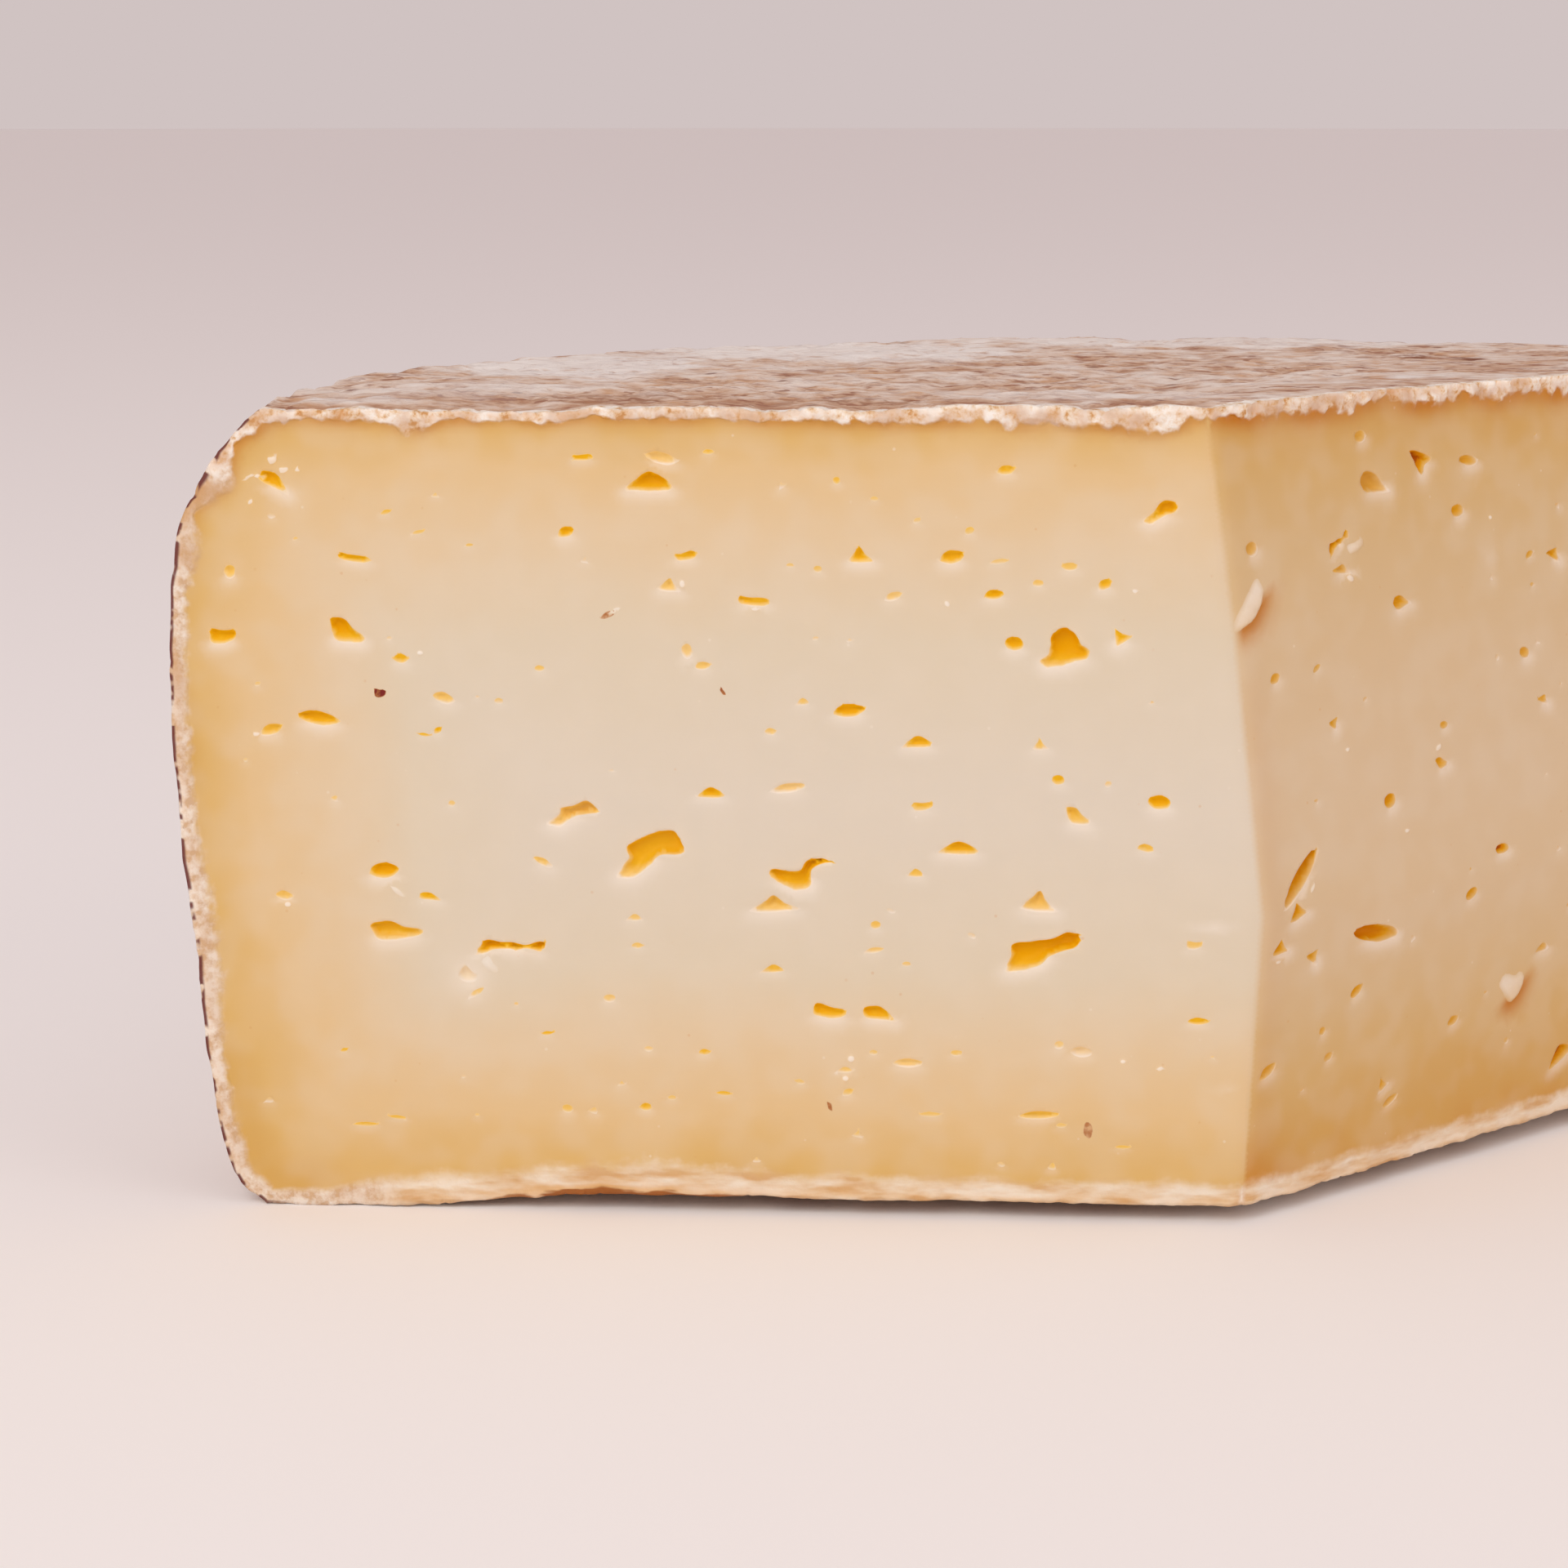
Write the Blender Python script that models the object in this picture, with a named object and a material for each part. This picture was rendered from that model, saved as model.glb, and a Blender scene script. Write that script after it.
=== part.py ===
"""A tomme de Savoie: three eighths of a wheel, standing on its underside.

The piece is a sector of a round cheese. Its two cut faces meet in an upright edge, the wheel's own
axis, which leans and bows a little because the knife wandered. The front cut lies along X and faces
-Y, and the other one runs back to the right. The rest of the outline is rind: a flat ring that the
cheese stands on, a dished underside, a bellied side, a slanting shoulder and a nearly flat top. The
rind shows in both cuts as a crumbly lip, and the paste is full of small slit-like eyes.

Metres, +Z up. The origin is under the middle of the piece, on the surface that it stands on.
"""

import math
import random

import bmesh
import bpy
from mathutils import Vector, noise
from mathutils.geometry import delaunay_2d_cdt

MM = 0.001

# The wheel
RADIUS = 95.0 * MM
HEIGHT = 72.6 * MM
SECTOR = math.radians(135.0)
FRONT_CUT = math.radians(180.0)
SIDE_CUT = FRONT_CUT - SECTOR
# Where the foot of the wheel's axis is, so that the origin is under the middle of the piece
AXIS = (13.2 * MM, -47.2 * MM, 0.0)

# Radius and height of the rind, from the ring it stands on, over the belly and shoulder, to the top
RIND_STATIONS = (
    (86.8 * MM, 0.0),
    (90.2 * MM, 3.4 * MM),
    (92.2 * MM, 13.3 * MM),
    (94.3 * MM, 31.4 * MM),
    (RADIUS, 47.0 * MM),
    (94.2 * MM, 60.9 * MM),
    (91.9 * MM, 65.9 * MM),
    (88.4 * MM, 70.0 * MM),
    (84.2 * MM, HEIGHT),
)
RING_INNER = 79.0 * MM
DISH_DEPTH = 1.6 * MM
DISH_DEEPER_AT_SIDE_CUT = 0.5 * MM
DISH_SLOPE = 24.0 * MM
TOP_SAG = 0.5 * MM
# The knife pressed the wheel down at the cuts: behind them it is fuller by this much
BACK_FULLER = 1.6 * MM
BACK_HIGHER = 0.6 * MM
PRESSED_TURN = 0.08
SHOULDER_FROM = 0.8

# The upright edge between the cuts: how far it strays along X at each height
EDGE_STATIONS = (
    (0.0, 0.6 * MM),
    (28.0 * MM, 1.9 * MM),
    (54.0 * MM, -1.2 * MM),
    (HEIGHT, -3.9 * MM),
)

# Unevenness of the rind
LUMP = 0.55 * MM
LUMP_SPACING = 19.0 * MM
WRINKLE = 0.22 * MM
WRINKLE_SPACING = 6.0 * MM

# The rind in the cuts: its width, and how far its crumbs stand out of the paste
RIND_BAND = 1.9 * MM
CRUMB_PROUD = 0.42 * MM
CRUMB_SPACING = 3.1 * MM
CRUMB_CONTRAST = 1.2
# Shift of the crumbs' noise between the cuts, so that they differ
CRUMB_SHIFT = 40.0 * MM

# How finely the shape is divided
TURN_STEPS = 27
DISH_STEPS = 7
SIDE_STEPS = 18
TOP_STEPS = 13
EDGE_STEPS = 10
BAND_STEP = 3.2 * MM
PASTE_STEP = 9.0 * MM
CURVE_STEPS = 16
WELD = 0.002 * MM
CLEARANCE = 0.5 * MM

# Eyes in the front cut: distance from the wheel's axis and height of the middle, width and height of
# the opening, all in millimetres, and its slope in degrees, rising towards the rind
FRONT_EYES = (
    (85.3, 66.0, 2.6, 1.3, 25),
    (78.3, 59.3, 2.5, 0.8, 5),
    (59.7, 61.9, 1.4, 0.9, -30),
    (52.4, 66.4, 3.9, 1.7, 0),
    (7.7, 63.9, 2.7, 1.7, -35),
    (49.6, 58.9, 1.9, 1.6, -10),
    (33.8, 60.1, 2.1, 1.4, 0),
    (25.8, 60.1, 2.2, 1.2, -30),
    (43.0, 55.8, 2.5, 0.9, 0),
    (30.9, 56.4, 1.7, 0.9, 0),
    (22.1, 56.6, 1.6, 0.8, 0),
    (12.5, 57.5, 1.3, 0.9, -30),
    (90.0, 52.2, 2.0, 1.3, 0),
    (79.0, 52.8, 2.7, 2.1, 20),
    (20.3, 52.2, 1.4, 1.2, 0),
    (15.5, 52.6, 4.3, 3.4, 10),
    (11.1, 53.0, 1.5, 1.3, -30),
    (70.6, 46.9, 2.0, 1.0, 15),
    (81.7, 44.9, 3.4, 1.2, 15),
    (85.9, 43.8, 2.0, 1.4, 0),
    (34.7, 46.1, 2.7, 1.2, -10),
    (28.7, 43.4, 2.4, 1.0, -5),
    (47.0, 38.7, 2.2, 1.0, 0),
    (40.1, 39.2, 3.0, 0.9, -5),
    (7.4, 38.3, 1.8, 1.3, 0),
    (14.5, 37.0, 1.9, 1.5, 0),
    (59.4, 36.6, 4.2, 1.6, -25),
    (25.1, 34.0, 3.3, 1.2, 0),
    (52.4, 33.2, 4.4, 2.4, -20),
    (76.3, 31.2, 2.4, 1.4, 10),
    (39.4, 31.2, 3.6, 2.0, -15),
    (41.3, 28.5, 4.0, 1.4, 0),
    (17.8, 29.3, 3.2, 1.9, 0),
    (75.2, 25.8, 4.1, 1.8, -15),
    (66.0, 23.4, 5.6, 2.6, -10),
    (17.6, 24.6, 5.8, 2.8, -25),
    (41.5, 22.8, 1.8, 0.8, 0),
    (36.4, 18.9, 2.8, 1.2, 0),
    (31.8, 18.8, 2.6, 1.3, 15),
    (29.3, 14.3, 2.5, 0.9, 0),
    (17.6, 9.7, 3.5, 0.8, 0),
)
# The same in the side cut, with distances from the edge between the cuts
SIDE_EYES = (
    (20.1, 65.2, 3.6, 2.0, 0),
    (26.8, 66.6, 2.6, 1.9, -20),
    (33.9, 66.2, 2.5, 1.0, 0),
    (31.3, 61.8, 1.8, 1.2, 0),
    (14.2, 59.8, 3.0, 1.5, 0),
    (22.2, 54.1, 2.2, 1.3, 10),
    (45.1, 56.6, 2.1, 1.1, -20),
    (38.8, 47.7, 1.4, 1.1, 0),
    (24.9, 39.0, 1.6, 1.3, 30),
    (17.5, 36.2, 1.5, 1.4, 10),
    (33.2, 29.7, 1.9, 0.9, 0),
    (5.0, 30.6, 5.6, 3.2, 55),
    (15.4, 24.3, 5.8, 1.6, -10),
    (29.0, 26.0, 1.6, 1.0, 0),
    (7.4, 23.5, 1.5, 1.2, 0),
    (40.4, 19.1, 1.9, 0.8, 0),
    (27.6, 14.1, 1.5, 1.0, 0),
    (18.8, 8.7, 2.4, 1.4, -20),
    (45.2, 9.2, 3.3, 1.5, -15),
    (57.0, 61.5, 2.9, 1.2, 10),
    (66.5, 45.0, 2.2, 1.6, -15),
    (54.5, 34.0, 4.4, 1.7, -20),
    (75.0, 56.0, 3.1, 1.3, 15),
    (79.5, 31.0, 2.6, 1.4, -10),
    (63.0, 19.5, 3.6, 1.5, -20),
    (85.0, 17.0, 1.9, 1.0, 0),
)
# Flakes of paste that the knife turned up on the side cut, with how far they stand out at the end
SIDE_FLAKES = (
    (2.1, 55.6, 4.0, 1.4, 41, 0.8),
    (36.3, 16.0, 3.4, 2.8, -10, 0.4),
)
SMALL_EYES = 22
SMALL_EYE_WIDTH = (0.8, 1.3)
SMALL_EYE_FLATNESS = 0.6
# Sides of an eye's outline up to each width
EYE_SIDES = ((1.4, 6), (2.6, 8), (9.0, 12))
EYE_WOBBLE = 0.14
EYE_DEPTH = 0.85
# Rings from a mouth inward: size beside the mouth, and share of the depth
EYE_RINGS = ((0.86, 0.45), (0.5, 0.88))
SMALL_EYE_RINGS = ((0.75, 0.7),)
FLAKE_RINGS = ((0.9, 0.7),)
EYE_RISE = 0.16
SMALL_EYE_SLOPE = 30.0
# Room that an eye needs, as a share of the widths of two neighbours
SPREAD = 0.6
FRONT_SEED = 100
SIDE_SEED = 300

# Colours of the paste and the rind, linear RGB, with their roughness
PASTE_COLOUR = (0.80, 0.58, 0.33, 1.0)
PASTE_ROUGHNESS = 0.45
RIND_COLOUR = (0.42, 0.32, 0.25, 1.0)
RIND_ROUGHNESS = 0.9


def clear_scene():
    for thing in list(bpy.data.objects):
        bpy.data.objects.remove(thing, do_unlink=True)


def ease(x):
    """0 below 0, 1 above 1, and a smooth rise between."""
    x = min(max(x, 0.0), 1.0)
    return x * x * (3.0 - 2.0 * x)


def along_curve(stations, steps):
    """Points on a Catmull-Rom curve through the stations, evenly spaced, first and last included."""
    points = [Vector(s) for s in stations]
    padded = [2 * points[0] - points[1], *points, 2 * points[-1] - points[-2]]
    fine = []
    for a, b, c, d in zip(padded, padded[1:], padded[2:], padded[3:]):
        for k in range(CURVE_STEPS):
            t = k / CURVE_STEPS
            bend = (2 * a - 5 * b + 4 * c - d) * t * t + (3 * b - a - 3 * c + d) * t ** 3
            fine.append(b + ((c - a) * t + bend) / 2)
    fine.append(points[-1])
    return [spot for spot, _ in evenly(fine, steps)]


def evenly(path, steps):
    """Points that divide a path into equal steps, each with the path's direction there."""
    reach = [0.0]
    for a, b in zip(path, path[1:]):
        reach.append(reach[-1] + (b - a).length)
    found = []
    k = 0
    for n in range(steps + 1):
        at = reach[-1] * n / steps
        while k < len(path) - 2 and reach[k + 1] < at:
            k += 1
        way = (path[k + 1] - path[k]).normalized()
        found.append((path[k] + way * (at - reach[k]), way))
    return found


def edge_stray(z):
    """How far the edge between the cuts lies from the wheel's axis, along X, at a height."""
    for (z0, x0), (z1, x1) in zip(EDGE_STATIONS, EDGE_STATIONS[1:]):
        if z <= z1:
            return x0 + (x1 - x0) * (z - z0) / (z1 - z0)
    return EDGE_STATIONS[-1][1]


def dish(r, turn):
    """Height of the underside. turn is 0 at the side cut and 1 at the front cut."""
    depth = DISH_DEPTH + DISH_DEEPER_AT_SIDE_CUT * (1 - turn) * r / RING_INNER
    return depth * ease((RING_INNER - r) / DISH_SLOPE)


def top(r):
    """Height of the top, which sags a little from its rim to the middle of the wheel."""
    return HEIGHT - TOP_SAG * (1 - ease(r / RIND_STATIONS[-1][0]))


def profile(turn):
    """The wheel's outline in a half plane through its axis, from the underside's middle to the top's."""
    under = [RING_INNER * k / DISH_STEPS for k in range(DISH_STEPS + 1)]
    side = along_curve(RIND_STATIONS, SIDE_STEPS)
    over = [side[-1].x * (1 - k / TOP_STEPS) for k in range(1, TOP_STEPS + 1)]
    return [Vector((r, dish(r, turn))) for r in under] + side + [Vector((r, top(r))) for r in over]


def in_place(turn, r, z):
    """A point of the cheese: its turn from the side cut (0) to the front cut (1), radius and height."""
    angle = SIDE_CUT + SECTOR * turn
    flat = Vector((r * math.cos(angle), r * math.sin(angle), z))
    swell = LUMP * noise.noise(flat / LUMP_SPACING) + WRINKLE * noise.noise(flat / WRINKLE_SPACING)
    behind = ease(min(turn, 1 - turn) / PRESSED_TURN) * min(r / RADIUS, 1.0)
    shoulder = ease((z / HEIGHT - SHOULDER_FROM) / (1 - SHOULDER_FROM))
    outward = (r / RADIUS) ** 2
    upward = (z / HEIGHT) ** 3
    stray = edge_stray(z) * (1 - turn * min(r / RADIUS, 1.0))
    r += swell * outward + BACK_FULLER * behind * shoulder
    z += (swell + BACK_HIGHER * behind) * upward
    return Vector((r * math.cos(angle) + stray, r * math.sin(angle), z))


def lip(turn, r, z, share):
    """How far the rind's crumbs stand out of a cut. share is 1 at the rind and 0 at the paste."""
    where = Vector((r, CRUMB_SHIFT * turn, z)) / CRUMB_SPACING
    return CRUMB_PROUD * share * (1.0 + CRUMB_CONTRAST * noise.noise(where))


def cut_point(turn, r, z, out):
    """A point on a cut face, out metres proud of it."""
    angle = SIDE_CUT + SECTOR * turn
    way = 1 if turn else -1
    normal = Vector((-math.sin(angle), math.cos(angle), 0.0)) * way
    return in_place(turn, r, z) + normal * out


def outline_point(turn, p, at_cut):
    """A point of the rind, on the crumbly lip where it is at a cut."""
    if at_cut and p.x > WELD:
        return cut_point(turn, p.x, p.y, lip(turn, p.x, p.y, 1.0))
    return in_place(turn, p.x, p.y)


def add_rind(bm):
    """The whole outside of the sector except its cuts, as a grid of turns and outline points."""
    columns = []
    for k in range(TURN_STEPS + 1):
        turn = k / TURN_STEPS
        at_cut = k in (0, TURN_STEPS)
        columns.append([bm.verts.new(outline_point(turn, p, at_cut)) for p in profile(turn)])
    for a, b in zip(columns, columns[1:]):
        for a0, a1, b0, b1 in zip(a, a[1:], b, b[1:]):
            bm.faces.new((a0, b0, b1, a1)).material_index = 1


def from_edge(eye):
    """An eye of the front cut, with its distance as in_place wants it where the edge strays."""
    stray = edge_stray(eye[1] * MM) / MM
    reach = RADIUS / MM
    return ((eye[0] + stray) * reach / (reach + stray), *eye[1:])


def oval(feature, seed, size=1.0, rise=0.0):
    """The uneven outline of an eye or flake, or a smaller ring inside it, in the plane of its cut."""
    s, z, width, height, slope = feature[:5]
    sides = next(count for limit, count in EYE_SIDES if width < limit)
    wobble = random.Random(seed)
    phases = [wobble.uniform(0, math.tau) for _ in range(2)]
    tilt = math.radians(slope)
    points = []
    for k in range(sides):
        a = math.tau * k / sides
        far = 1 + EYE_WOBBLE * (math.sin(2 * a + phases[0]) + math.sin(3 * a + phases[1])) / 2
        x = width / 2 * far * size * math.cos(a)
        y = height / 2 * far * size * math.sin(a) + rise * height
        across = x * math.cos(tilt) - y * math.sin(tilt)
        up = x * math.sin(tilt) + y * math.cos(tilt)
        points.append(Vector(((s + across) * MM, (z + up) * MM)))
    return points


def inside(point, outline):
    """Whether a point of a cut's plane lies inside a closed outline."""
    hit = False
    for a, b in zip(outline, outline[1:] + outline[:1]):
        if (a.y > point.y) != (b.y > point.y):
            if point.x < a.x + (b.x - a.x) * (point.y - a.y) / (b.y - a.y):
                hit = not hit
    return hit


def distance(point, path):
    """The shortest distance from a point to an open path."""
    best = math.inf
    for a, b in zip(path, path[1:]):
        along = b - a
        share = (point - a).dot(along) / max(along.length_squared, WELD * WELD)
        best = min(best, (point - a - along * min(max(share, 0.0), 1.0)).length)
    return best


def centre(feature):
    return Vector(feature[:2]) * MM


def in_paste(point, outline):
    """Whether a point of a cut's plane is in the paste, well clear of the rind."""
    return inside(point, outline) and distance(point, outline) > 2 * RIND_BAND


def small_eyes(others, outline, seed):
    """Scattered eyes in the paste, clear of each other and of what else is there."""
    draw = random.Random(seed)
    found = []
    while len(found) < SMALL_EYES:
        width = draw.uniform(*SMALL_EYE_WIDTH)
        s = draw.uniform(2 * width, RADIUS / MM)
        z = draw.uniform(0.0, HEIGHT / MM)
        slope = draw.uniform(-SMALL_EYE_SLOPE, SMALL_EYE_SLOPE)
        eye = (s, z, width, width * SMALL_EYE_FLATNESS, slope)
        apart = all(
            (centre(o) - centre(eye)).length > (o[2] + width) * MM * SPREAD + CLEARANCE
            for o in [*others, *found]
        )
        if apart and in_paste(centre(eye), outline):
            found.append(eye)
    return found


def band_points(turn, outline, loop):
    """Points in the lip of rind and on its border with the paste, and how proud each one is."""
    found = []
    length = sum((b - a).length for a, b in zip(outline, outline[1:]))
    for spot, way in evenly(outline, round(length / BAND_STEP))[1:-1]:
        inward = Vector((-way.y, way.x))
        for share in (0.5, 1.0):
            p = spot + inward * RIND_BAND * share
            room = distance(p, outline) > CLEARANCE and p.x > CLEARANCE
            if room and inside(p, loop):
                found.append((p, lip(turn, p.x, p.y, 1 - share)))
    return found


def paste_points(outline, features):
    """A coarse grid of points in the paste, clear of the eyes and flakes."""
    found = []
    for r in range(1, int(RADIUS / PASTE_STEP)):
        for z in range(1, int(HEIGHT / PASTE_STEP)):
            p = Vector((r * PASTE_STEP, z * PASTE_STEP))
            clear = all((p - centre(f)).length > f[2] * MM for f in features)
            if clear and in_paste(p, outline):
                found.append((p, 0.0))
    return found


def ring_edges(start, count):
    return [(start + k, start + (k + 1) % count) for k in range(count)]


def add_pit(bm, turn, feature, seed, mouth, rings, depth, rise):
    """An eye's hollow, or a flake when depth is negative: rings of faces from its mouth to its end."""
    before = mouth
    for size, share in rings:
        outline = oval(feature, seed, size, rise * share)
        ring = [bm.verts.new(cut_point(turn, p.x, p.y, -depth * share)) for p in outline]
        for k in range(len(ring)):
            bm.faces.new((before[k - 1], before[k], ring[k], ring[k - 1]))
        before = ring
    middle = oval(feature, seed, 0.0, rise)[0]
    end = bm.verts.new(cut_point(turn, middle.x, middle.y, -depth))
    for k in range(len(before)):
        bm.faces.new((before[k - 1], before[k], end))


def add_eye(bm, turn, eye, seed, mouth):
    depth = EYE_DEPTH * math.sqrt(eye[2] * eye[3]) * MM
    rings = SMALL_EYE_RINGS if len(mouth) == EYE_SIDES[0][1] else EYE_RINGS
    add_pit(bm, turn, eye, seed, mouth, rings, depth, EYE_RISE)


def add_cut(bm, turn, eyes, flakes, seed):
    """One cut face: the crumbly lip of rind round it, the paste, and the eyes and flakes in it."""
    outline = profile(turn)
    eyes = [*eyes, *small_eyes([*eyes, *flakes], outline, seed)]
    features = [*eyes, *flakes]
    low = outline[0].y
    high = outline[-1].y
    edge = [Vector((0.0, high + (low - high) * k / EDGE_STEPS)) for k in range(1, EDGE_STEPS)]
    loop = outline + edge
    placed = [(p, lip(turn, p.x, p.y, 1.0) if p.x > WELD else 0.0) for p in loop]
    placed += band_points(turn, outline, loop)
    placed += paste_points(outline, features)
    edges = ring_edges(0, len(loop))
    mouths = [oval(feature, seed + n) for n, feature in enumerate(features)]
    starts = []
    for mouth in mouths:
        starts.append(len(placed))
        edges += ring_edges(len(placed), len(mouth))
        placed += [(p, 0.0) for p in mouth]
    points = [p for p, _ in placed]
    flat, _, faces, sources, _, _ = delaunay_2d_cdt(points, edges, [], 0, WELD * MM)
    verts = [bm.verts.new(cut_point(turn, p.x, p.y, placed[s[0]][1])) for p, s in zip(flat, sources)]
    made_from = {source: vert for vert, found in zip(verts, sources) for source in found}
    for face in faces:
        middle = sum((flat[k] for k in face), Vector((0.0, 0.0))) / len(face)
        if inside(middle, loop) and not any(inside(middle, mouth) for mouth in mouths):
            bm.faces.new([verts[k] for k in face])
    for n, feature in enumerate(features):
        mouth = [made_from[starts[n] + k] for k in range(len(mouths[n]))]
        if n < len(eyes):
            add_eye(bm, turn, feature, seed + n, mouth)
        else:
            add_pit(bm, turn, feature, seed + n, mouth, FLAKE_RINGS, -feature[5] * MM, 0.0)


def material(name, colour, roughness):
    made = bpy.data.materials.new(name)
    made.use_nodes = True
    shader = made.node_tree.nodes["Principled BSDF"]
    shader.inputs["Base Color"].default_value = colour
    shader.inputs["Roughness"].default_value = roughness
    shader.inputs["Metallic"].default_value = 0.0
    return made


def add_cheese():
    bm = bmesh.new()
    add_rind(bm)
    add_cut(bm, 1, [from_edge(eye) for eye in FRONT_EYES], (), FRONT_SEED)
    add_cut(bm, 0, SIDE_EYES, SIDE_FLAKES, SIDE_SEED)
    bmesh.ops.remove_doubles(bm, verts=bm.verts, dist=WELD)
    bmesh.ops.triangulate(bm, faces=bm.faces)
    bmesh.ops.recalc_face_normals(bm, faces=bm.faces)
    bmesh.ops.translate(bm, verts=bm.verts, vec=AXIS)
    mesh = bpy.data.meshes.new("cheese")
    bm.to_mesh(mesh)
    bm.free()
    mesh.materials.append(material("paste", PASTE_COLOUR, PASTE_ROUGHNESS))
    mesh.materials.append(material("rind", RIND_COLOUR, RIND_ROUGHNESS))
    bpy.context.scene.collection.objects.link(bpy.data.objects.new("cheese", mesh))


clear_scene()
add_cheese()
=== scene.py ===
import math
import random

import bmesh
import bpy
from mathutils import Matrix, Vector, kdtree, noise
from mathutils.geometry import delaunay_2d_cdt


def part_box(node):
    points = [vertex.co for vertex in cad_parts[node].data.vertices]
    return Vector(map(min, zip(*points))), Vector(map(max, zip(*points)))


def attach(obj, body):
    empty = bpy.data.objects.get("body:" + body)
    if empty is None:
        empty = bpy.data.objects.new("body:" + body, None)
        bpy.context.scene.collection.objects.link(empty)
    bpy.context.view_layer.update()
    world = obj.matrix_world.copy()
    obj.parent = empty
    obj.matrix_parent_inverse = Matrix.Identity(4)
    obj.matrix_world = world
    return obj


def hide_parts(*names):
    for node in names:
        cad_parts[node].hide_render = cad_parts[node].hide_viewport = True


# A piece of tomme de Savoie: three eighths of a wheel with two cut faces. The visual piece follows
# the same named sizes as the solid, and adds the crumbly rind, the crust's relief and the eyes.
# Metres, +Z up. Plane coordinates of a cut are (distance from the wheel's axis, height).

MM = 0.001

# Without a seed of its own, noise_vector takes its offsets from the clock
NOISE_SEED = 1
noise.seed_set(NOISE_SEED)

# The wheel, as in the solid, but with its lower and upper corner fuller by up to 1.7 mm, as seen
RADIUS = 95.0 * MM
HEIGHT = 72.6 * MM
SECTOR = math.radians(135.0)
FRONT_CUT = math.radians(180.0)
SIDE_CUT = FRONT_CUT - SECTOR
AXIS = Vector((13.2 * MM, -47.2 * MM, 0.0))
RIND_STATIONS = (
    (87.9 * MM, 0.0),
    (90.9 * MM, 3.4 * MM),
    (92.6 * MM, 13.3 * MM),
    (94.4 * MM, 31.4 * MM),
    (RADIUS, 47.0 * MM),
    (94.3 * MM, 60.9 * MM),
    (92.3 * MM, 65.9 * MM),
    (89.2 * MM, 70.1 * MM),
    (85.9 * MM, HEIGHT),
)
FOOT_RADIUS = RIND_STATIONS[0][0]
RIM_RADIUS = RIND_STATIONS[-1][0]
RING_INNER = 79.0 * MM
DISH_DEPTH = 1.6 * MM
DISH_DEEPER_AT_SIDE_CUT = 0.5 * MM
DISH_SLOPE = 24.0 * MM
TOP_RISE = 0.4 * MM
# Away from the cuts the wheel is higher, and fuller above a share of its height: by how much, and
# from which turn between the cuts on
BACK_FULLER = 0.4 * MM
BACK_HIGHER = 0.6 * MM
PRESSED_TURN = 0.08
SHOULDER_FROM = 0.8
# The top stands higher beside the side cut: by how much, up to which turn between the cuts, over
# which lengths near the edge and before the rim, and over which share of the height
SIDE_CUT_HIGHER = 0.75 * MM
SIDE_CUT_HIGHER_TURN = 0.3
SIDE_CUT_HIGHER_BY = 30.0 * MM
SIDE_CUT_HIGHER_START = 4 * MM
SIDE_CUT_HIGHER_END = 20 * MM
SIDE_CUT_HIGHER_FROM = 0.93
SIDE_CUT_HIGHER_SPAN = 0.07
# How far the edge between the cuts strays along X: height and stray
EDGE_STATIONS = (
    (0.0, 0.6 * MM),
    (28.0 * MM, 1.9 * MM),
    (54.0 * MM, -1.2 * MM),
    (HEIGHT, -3.9 * MM),
)
# Relief of the whole wheel, and of the crumbs in the rind of the cuts
LUMP = 0.55 * MM
LUMP_SPACING = 19.0 * MM
WRINKLE = 0.22 * MM
WRINKLE_SPACING = 6.0 * MM
CRUMB_PROUD = 0.42 * MM
CRUMB_SPACING = 3.1 * MM
CRUMB_CONTRAST = 1.2
CRUMB_SHIFT = 40.0 * MM

# The upright edge between the cuts is rounded over this length, and gives way by this much
EDGE_ROUND = 1.5 * MM
EDGE_GIVE = 0.3 * MM
EDGE_INWARD = Vector((math.cos(SIDE_CUT + SECTOR / 2), math.sin(SIDE_CUT + SECTOR / 2), 0.0))


def ease(x):
    """0 below 0, 1 above 1, and a smooth rise between."""
    x = min(max(x, 0.0), 1.0)
    return x * x * (3.0 - 2.0 * x)


def bell(x, middle, reach):
    """1 at the middle, falling to about a third at the reach."""
    return math.exp(-((x - middle) / reach) ** 2)


def on_curve(a, b, c, d, t):
    """A point between b and c of the Catmull-Rom curve through four points."""
    bend = (2 * a - 5 * b + 4 * c - d) * t * t + (3 * b - a - 3 * c + d) * t ** 3
    return b + ((c - a) * t + bend) / 2


def edge_stray(z):
    """How far the edge between the cuts lies from the wheel's axis, along X, at a height."""
    for (z0, x0), (z1, x1) in zip(EDGE_STATIONS, EDGE_STATIONS[1:]):
        if z <= z1:
            return x0 + (x1 - x0) * (z - z0) / (z1 - z0)
    return EDGE_STATIONS[-1][1]


def dish(r, turn):
    """Height of the underside. turn is 0 at the side cut and 1 at the front cut."""
    depth = DISH_DEPTH + DISH_DEEPER_AT_SIDE_CUT * (1 - turn) * r / RING_INNER
    return depth * ease((RING_INNER - r) / DISH_SLOPE)


def top(r):
    """Height of the top, highest at the wheel's axis."""
    return HEIGHT + TOP_RISE * (1 - ease(r / RIM_RADIUS))


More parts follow.
